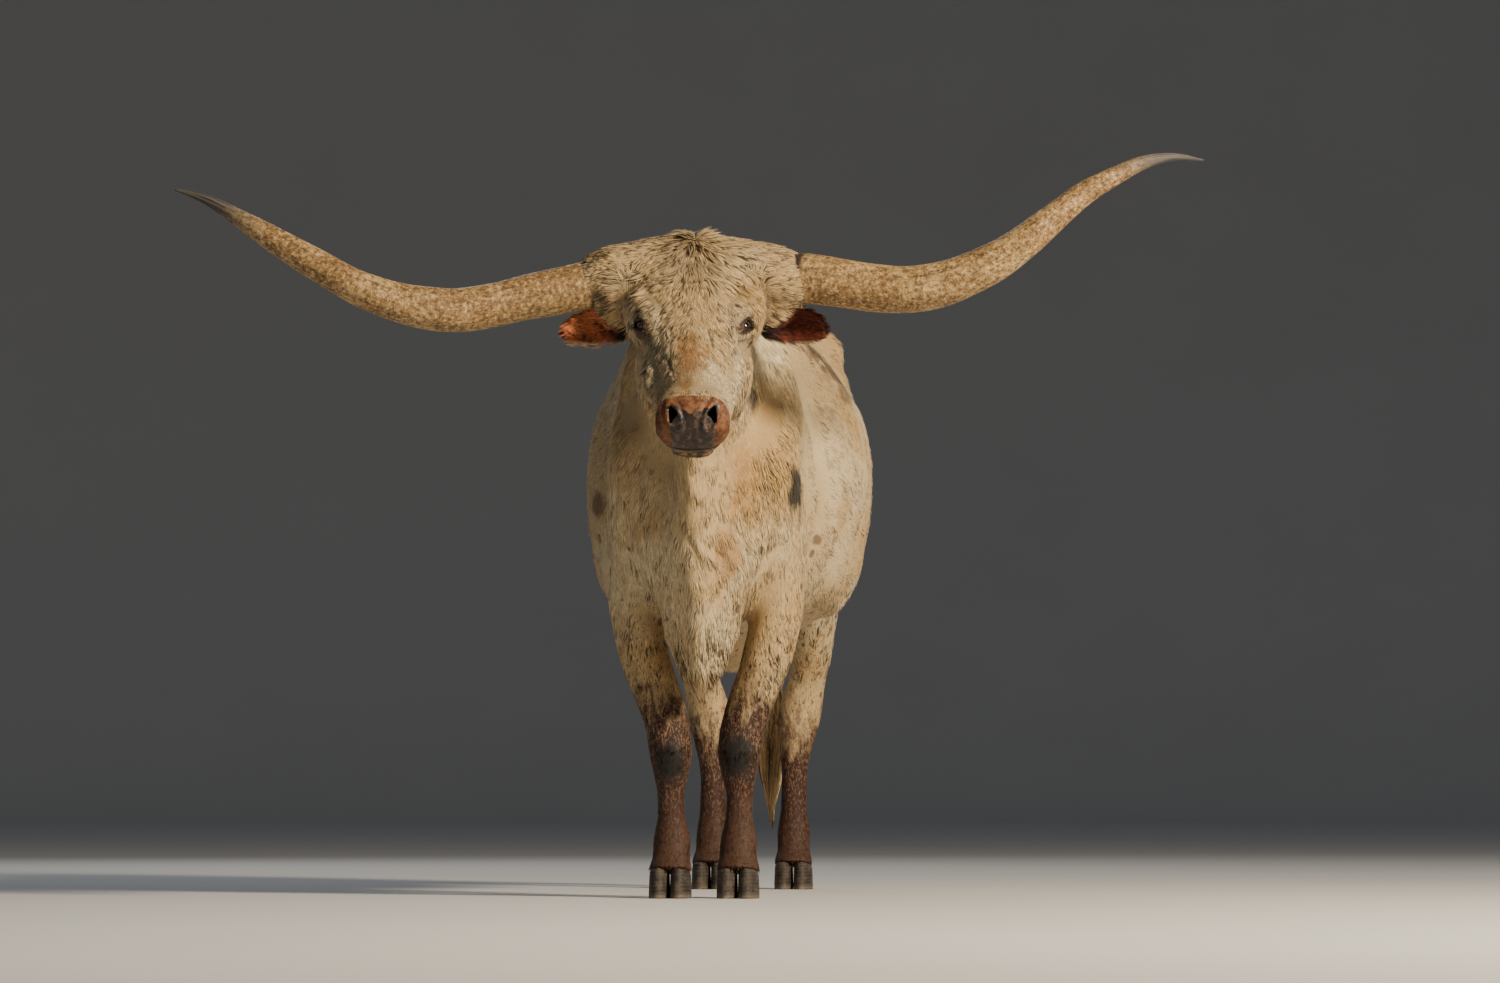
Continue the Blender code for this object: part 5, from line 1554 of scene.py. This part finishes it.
def hair_material(name, groups):
    """Hair in the colours of a group, darker at the roots, with a share of dark hairs."""
    colours, gain, dark, root, shine = HAIRS[name]
    gloss = {"specular_ior_level": 0.30 * shine, "sheen_weight": 0.12 * shine}
    material, wires, shader = new_material(name, roughness=0.55, **gloss)
    base = wires.group(groups[colours], {"Point": wires.point()})["Color"]
    uv = wires.add("ShaderNodeUVMap", uv_map="Strand").outputs[0]
    inputs = {"Map": uv, "Along": wires.attribute("along"), "Shade": wires.attribute("shade")}
    inputs.update({"Dark": dark, "Root": root})
    if name == "long_hair":
        inputs["Along"] = wires.math("MULTIPLY", inputs["Along"], 5.0, clamp=True)
    strands = wires.group(groups["Strands"], inputs)
    wires.feed(shader["Base Color"], wires.scaled(base, wires.times(strands["Value"], gain)))
    wires.feed(shader["Normal"], bump(wires, strands["Height"], 0.0006))
    return material


def streaks(wires, point, way):
    """Noise drawn out along a way, as fine and as long as hairs."""
    way = Vector(way).normalized()
    side = way.orthogonal().normalized()
    across, long = HAIR_STREAK
    axes = (side / across, way.cross(side) / across, way / long)
    spot = {index: wires.axis(point, axis) for index, axis in enumerate(axes)}
    return wires.noise(wires.add("ShaderNodeCombineXYZ", spot).outputs[0], 1.0, 3.0, 0.6)


def hide_material(groups):
    """The skin under the coat, the bare muzzle, the lids, and the painted shade inside the openings."""
    material, wires, shader = new_material("hide", specular_ior_level=0.40)
    point = wires.point()
    coat = wires.group(groups["Markings"], {"Point": point})["Color"]
    forward = wires.ramp(wires.axis(point, (0, 1, 0)), -0.10, -0.42)
    low = wires.ramp(wires.axis(point, (0, 0, 1)), 0.80, 0.64)
    down = wires.math("MAXIMUM", forward, low)
    back = streaks(wires, point, (0.0, 0.90, -0.40))
    hairs = wires.mix(down, back, streaks(wires, point, (0.0, 0.22, -1.0)))
    # The skin between the tufts is darker than the coat, most on the head: partly the roots' own colour,
    # partly painted shade between the locks.
    fine = wires.ramp(hairs, 0.36, 0.60, 0.62, 0.96)
    head = wires.ramp(hairs, 0.40, 0.60, 0.26, 0.76)
    coat = wires.scaled(coat, wires.mix(wires.attribute("head"), fine, head))
    ear = wires.group(groups["Ear colours"], {"Point": point})["Color"]
    color = wires.mix(wires.attribute("ear"), coat, wires.scaled(ear, 0.8))
    blotch = wires.noise(point, 75.0, 4.0, 0.62, 0.5)
    rim = wires.mix(wires.ramp(blotch, 0.40, 0.62), *MUZZLE_RIM)
    plate = wires.mix(wires.ramp(blotch, 0.45, 0.68), *MUZZLE_PLATE)
    lip = wires.mix(wires.ramp(blotch, 0.44, 0.56), *LIPS)
    ragged = wires.plus(blotch, wires.noise(point, 34.0, 2.0))
    fray = wires.times(wires.minus(ragged, 1.0), 1.5)
    inner = wires.ramp(wires.plus(wires.attribute("plate"), fray), 0.38, 0.64)
    edge = wires.plus(wires.attribute("bare"), wires.times(fray, 0.22))
    bare = wires.ramp(edge, 0.40, 0.60)
    muzzle = wires.mix(inner, rim, plate)
    muzzle = wires.mix(wires.attribute("lip"), muzzle, lip)
    color = wires.mix(bare, color, muzzle)
    lids = wires.mix(wires.ramp(blotch, 0.42, 0.68), *LIDS)
    lids = wires.mix(wires.attribute("tear"), lids, TEAR_CORNER)
    color = wires.mix(wires.attribute("lid"), color, lids)
    # Painted shade: near-black inside the nostrils and along the mouth's line; also darker along the muzzle's
    # lower edge.
    color = wires.mix(wires.attribute("pit"), color, OPENING_SHADE)
    wires.feed(shader["Base Color"], color)
    gloss = wires.times(bare, wires.plus(wires.times(inner, 0.30), 0.12))
    wires.feed(shader["Roughness"], wires.minus(0.72, gloss))
    pebbles = wires.ramp(wires.cells(point, 330.0)["Distance"], 0.10, 0.62)
    pores = wires.times(pebbles, wires.times(bare, 0.9))
    grain = wires.times(hairs, wires.minus(1.0, bare))
    wires.feed(shader["Normal"], bump(wires, wires.minus(grain, pores), 0.0005))
    return material


def horn_material():
    """Tan horn with mottled grain, long streaks, root rings and dark tips."""
    material, wires, shader = new_material("horn", specular_ior_level=0.42)
    point, grain = wires.point(), wires.attribute("grain", "Vector")
    tip = wires.attribute("towards_tip")
    broad = wires.noise(point, 9.0, 3.0)
    color = wires.mix(wires.ramp(broad, 0.38, 0.64), *HORN_TANS)
    long = wires.noise(wires.vector("MULTIPLY", grain, (120.0, 120.0, 7.0)), 1.0, 4.0, 0.65)
    color = wires.mix(wires.ramp(long, 0.52, 0.70, 0.0, 0.80), color, HORN_STREAK)
    speck = wires.noise(point, 105.0, 5.0, 0.80)
    color = wires.mix(wires.ramp(speck, 0.50, 0.58, 0.0, 0.74), color, HORN_SPECK)
    color = wires.mix(wires.ramp(speck, 0.47, 0.38, 0.0, 0.62), color, HORN_PALE)
    far = wires.axis(grain, (0, 0, 1))
    wander = wires.plus(far, wires.times(wires.noise(point, 30.0), 0.030))
    ring = wires.math("SINE", wires.times(wander, 430.0))
    near = wires.ramp(far, 0.20, 0.03)
    ringed = wires.times(wires.ramp(ring, 0.2, 1.0), wires.times(near, 0.28))
    color = wires.mix(ringed, color, HORN_RING)
    color = wires.mix(wires.ramp(far, 0.030, 0.012), color, HORN_ROOT_EDGE)
    end = wires.plus(tip, wires.times(wires.minus(long, 0.5), 0.16))
    dusk = wires.mix(wires.ramp(long, 0.40, 0.62), *HORN_TIP)
    color = wires.mix(wires.ramp(end, 0.76, 0.90), color, dusk)
    wires.feed(shader["Base Color"], color)
    wires.feed(shader["Roughness"], wires.ramp(speck, 0.35, 0.65, 0.46, 0.66))
    fine = wires.plus(wires.times(long, 0.8), wires.times(speck, 0.45))
    fine = wires.plus(fine, wires.times(wires.times(ring, near), 0.12))
    wires.feed(shader["Normal"], bump(wires, fine, 0.0022))
    return material


def hoof_material():
    """Dull dark hoof with growth rings, long cracks and a worn, dusty edge at the ground."""
    material, wires, shader = new_material("hoof", specular_ior_level=0.35)
    point = wires.point()
    height = wires.axis(point, (0, 0, 1))
    blotch = wires.noise(point, 40.0, 4.0)
    color = wires.mix(wires.ramp(blotch, 0.40, 0.65), *HOOF_DARKS)
    cracks = wires.noise(wires.vector("MULTIPLY", point, (260.0, 260.0, 22.0)), 1.0, 3.0)
    color = wires.mix(wires.ramp(cracks, 0.56, 0.70, 0.0, 0.6), color, HOOF_CRACK)
    wander = wires.plus(height, wires.times(blotch, 0.014))
    ring = wires.math("SINE", wires.times(wander, 740.0))
    color = wires.mix(wires.ramp(ring, 0.1, 1.0, 0.0, 0.22), color, HOOF_PALE)
    worn = wires.plus(height, wires.times(blotch, 0.020))
    color = wires.mix(wires.ramp(worn, 0.026, 0.008, 0.0, 0.75), color, HOOF_DUST)
    wires.feed(shader["Base Color"], color)
    wires.feed(shader["Roughness"], wires.ramp(blotch, 0.3, 0.7, 0.55, 0.80))
    relief = wires.plus(cracks, wires.times(ring, 0.3))
    wires.feed(shader["Normal"], bump(wires, relief, 0.0010))
    return material


def eye_material():
    """A dark brown iris with a level pupil, a black edge and the wet surface over them."""
    constants = {"roughness": 0.06, "coat_weight": 1.0, "coat_roughness": 0.02, "specular_ior_level": 0.6}
    material, wires, shader = new_material("eye", **constants)
    uv = wires.add("ShaderNodeUVMap", uv_map="Iris").outputs[0]
    off = wires.vector("SUBTRACT", uv, (0.5, 0.5, 0.0))
    far = wires.vector("LENGTH", off)
    turn = wires.vector("NORMALIZE", off)
    fibres = wires.noise(wires.vector("ADD", wires.vector("MULTIPLY", turn, (9, 9, 9)), off), 1.0, 3.0)
    color = wires.mix(wires.ramp(fibres, 0.35, 0.65), *IRIS)
    pupil = wires.vector("LENGTH", wires.vector("MULTIPLY", off, (6.2, 11.0, 0.0)))
    color = wires.mix(wires.ramp(pupil, 1.12, 0.92), color, PUPIL)
    color = wires.mix(wires.ramp(far, 0.27, 0.31), color, IRIS_EDGE)
    veins = wires.noise(wires.vector("MULTIPLY", off, (60, 60, 1)), 1.0, 3.0)
    white = wires.mix(wires.ramp(veins, 0.45, 0.65), *EYE_WHITE)
    color = wires.mix(wires.ramp(far, 0.38, 0.42), color, white)
    wires.feed(shader["Base Color"], color)
    return material


def lash_material():
    material, wires, shader = new_material("lashes", roughness=0.45)
    wires.feed(shader["Base Color"], wires.mix(wires.attribute("shade"), *LASH_BROWNS))
    return material


# The muzzle, lids and ears on the skin
def skin_marks(hide):
    """Where the skin is bare, plate, lip, lid, ear or head, and where shade is painted inside an opening,
    from 0 to 1 at each point.
    """
    points, view = hide.points, hide.view
    x, y, back = muzzle_places(points)
    bare = muzzle_share(points)
    half = np.interp(y, [-0.050, -0.020, 0.010, 0.034], [0.045, 0.050, 0.052, 0.061])
    top = 0.032 - 0.012 * hump(x, 0, 0.018)
    plate = ramp(half - np.abs(x), -0.008, 0.008) * ramp(top - y, -0.008, 0.008) * ramp(-back, -0.05, -0.035)
    lip = ramp(-(view.t + 0.047), 0.002, 0.008) * bare
    edge = hump(bare, 0.42, 0.22) * ramp(-y, -0.030, 0.020)
    lid, tear, pit = np.zeros(len(points)), np.zeros(len(points)), np.zeros(len(points))
    for side in (1, -1):
        a, b, out, far, ring = eye_places(points, side)
        near = ramp(-far, -0.045, -0.035) * ramp(out, 0.0, 0.008)
        corner = np.exp(-(((a - 0.026) / 0.008) ** 2 + ((b + 0.003) / 0.006) ** 2))
        lid = np.maximum(lid, near * np.maximum(ramp(-ring, -1.95, -1.45), corner))
        tear = np.maximum(tear, near * corner)
        inside = nostril_ring(points, side, 0.0105, 0.0245)
        pit = np.maximum(pit, ramp(-inside, -1.05, -0.90) * ramp(back, 0.004, 0.010))
    # Painted shade along the mouth's line; the muzzle's lower edge is painted darker too.
    mouth = hump(view.t + 0.044, 0.0, 0.0050) * bare
    pit = np.maximum(pit, np.maximum(mouth, 0.85 * edge))
    marks = {"bare": bare, "plate": plate, "lip": lip, "lid": lid, "tear": tear, "pit": pit}
    marks.update({"ear": hide.ears, "head": np.clip(view.on, 0, 1)})
    return marks


# The floor, the light and the camera
PHOTO_SIZE = (1500, 983)
FOCAL = 5217.0  # pixels of the photo
SENSOR = 36.0
CAMERA_FAR = 12.0
CAMERA_HEIGHT = 0.22
VIEW_TURN = math.radians(5.0)
HORIZON = 802.0  # the row of the photo at the camera's height
CAMERA_AIM = Vector((0, -0.35, 0))  # between the front feet
CAMERA_ASIDE = 45.0  # pixels from there to the middle of the photo
STAGE_SIDES = 96
FLOOR_RADIUS = 45.0
COVE = 8.0  # radius of the curve from the floor to the wall
WALL_HEIGHT = 20.0
SKY = (0.84, 0.90, 1.0, 1)
SKY_STRENGTH = 0.10
LIGHTS = [  # name, place, target, size, power and colour
    ("key", (5.7, -5.0, 4.5), (0.0, 0.1, 0.9), 1.3, 1180.0, (1.0, 0.85, 0.64)),
    ("fill", (-5.5, -5.0, 2.4), (0.0, 0.0, 0.9), 4.0, 18.0, (0.60, 0.78, 1.0)),
    ("back", (-2.5, 6.0, 4.5), (0.0, 0.4, 1.0), 3.0, 80.0, (0.92, 0.95, 1.0)),
]


def make_camera():
    look = Vector((-math.sin(VIEW_TURN), math.cos(VIEW_TURN), 0))
    right = Vector((math.cos(VIEW_TURN), math.sin(VIEW_TURN), 0))
    data = bpy.data.cameras.new("camera")
    data.sensor_width = SENSOR
    data.lens = FOCAL * SENSOR / PHOTO_SIZE[0]
    data.clip_end = 200.0
    camera = bpy.data.objects.new("camera", data)
    camera.location = CAMERA_AIM - look * CAMERA_FAR + right * (CAMERA_ASIDE / FOCAL * CAMERA_FAR)
    camera.location.z = CAMERA_HEIGHT
    pitch = math.atan((HORIZON - PHOTO_SIZE[1] / 2) / FOCAL)
    camera.rotation_euler = (math.pi / 2 + pitch, 0, VIEW_TURN)
    bpy.context.scene.collection.objects.link(camera)
    bpy.context.scene.camera = camera


def make_light(name, place, target, size, power, color):
    data = bpy.data.lights.new(name, "AREA")
    data.shape = "DISK"
    data.size, data.energy, data.color = size, power, color
    light = bpy.data.objects.new(name, data)
    light.location = place
    light.rotation_euler = (Vector(target) - Vector(place)).to_track_quat("-Z", "Y").to_euler()
    bpy.context.scene.collection.objects.link(light)


def make_stage():
    """A pale floor that rises all round into a far wall, and the studio's light."""
    profile = [(FLOOR_RADIUS * k / 6, 0.0) for k in range(1, 7)]
    for a in np.linspace(0.1, math.pi / 2, 16):
        profile.append((FLOOR_RADIUS + COVE * math.sin(a), COVE - COVE * math.cos(a)))
    profile.append((FLOOR_RADIUS + COVE, WALL_HEIGHT))
    points = [(0.0, 0.0, 0.0)]
    points += [(r * math.cos(a), r * math.sin(a), z) for r, z in profile for a in turns(STAGE_SIDES)]
    faces = [(0, 1 + j, 1 + (j + 1) % STAGE_SIDES) for j in range(STAGE_SIDES)]
    for i in range(len(profile) - 1):
        for j in range(STAGE_SIDES):
            a, b = 1 + i * STAGE_SIDES + j, 1 + i * STAGE_SIDES + (j + 1) % STAGE_SIDES
            faces.append((a, a + STAGE_SIDES, b + STAGE_SIDES, b))
    mesh = bpy.data.meshes.new("floor")
    mesh.from_pydata(points, [], faces)
    mesh.shade_smooth()
    floor = new_object("floor", mesh)
    material, wires, shader = new_material("floor", roughness=0.75, specular_ior_level=0.2)
    cloud = wires.noise(wires.point(), 0.6, 3.0)
    wires.feed(shader["Base Color"], wires.mix(cloud, *FLOOR_GREYS))
    mesh.materials.append(material)
    world = bpy.data.worlds.new("studio")
    world.use_nodes = True
    background = world.node_tree.nodes["Background"].inputs
    background["Color"].default_value = SKY
    background["Strength"].default_value = SKY_STRENGTH
    bpy.context.scene.world = world
    for row in LIGHTS:
        make_light(*row)


# Everything together
def finish_piece(piece, material, nodes=()):
    piece.data.materials.clear()
    piece.data.materials.append(material)
    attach(piece, "root")
    if nodes:
        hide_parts(*nodes)


def build():
    rng = np.random.default_rng(11)
    groups = {"Markings": markings_group(), "Ear colours": ear_group(), "Strands": strands_group()}
    hairs = {name: hair_material(name, groups) for name in HAIRS}
    horn, hoof, eye = horn_material(), hoof_material(), eye_material()
    skin = make_skin()
    hide = Hide(skin)
    put_values(skin.data, skin_marks(hide))
    finish_piece(skin, hide_material(groups), [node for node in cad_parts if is_flesh(node)])
    for piece in make_coat(hide, rng):
        place = piece.name.split("_")[1]
        finish_piece(piece, hairs[HAIR_OF.get(place, "coat")])
    finish_piece(make_switch(rng), hairs["long_hair"], ["tail_switch"])
    finish_piece(make_lashes(rng), lash_material())
    for word, side in (("left", 1), ("right", -1)):
        finish_piece(make_horn(word, side), horn, [f"horn_{word}"])
        finish_piece(make_eye(word, side), eye, [f"eye_{word}"])
    hooves, claws = make_hooves()
    finish_piece(hooves, hoof, claws)
    make_stage()
    make_camera()


build()
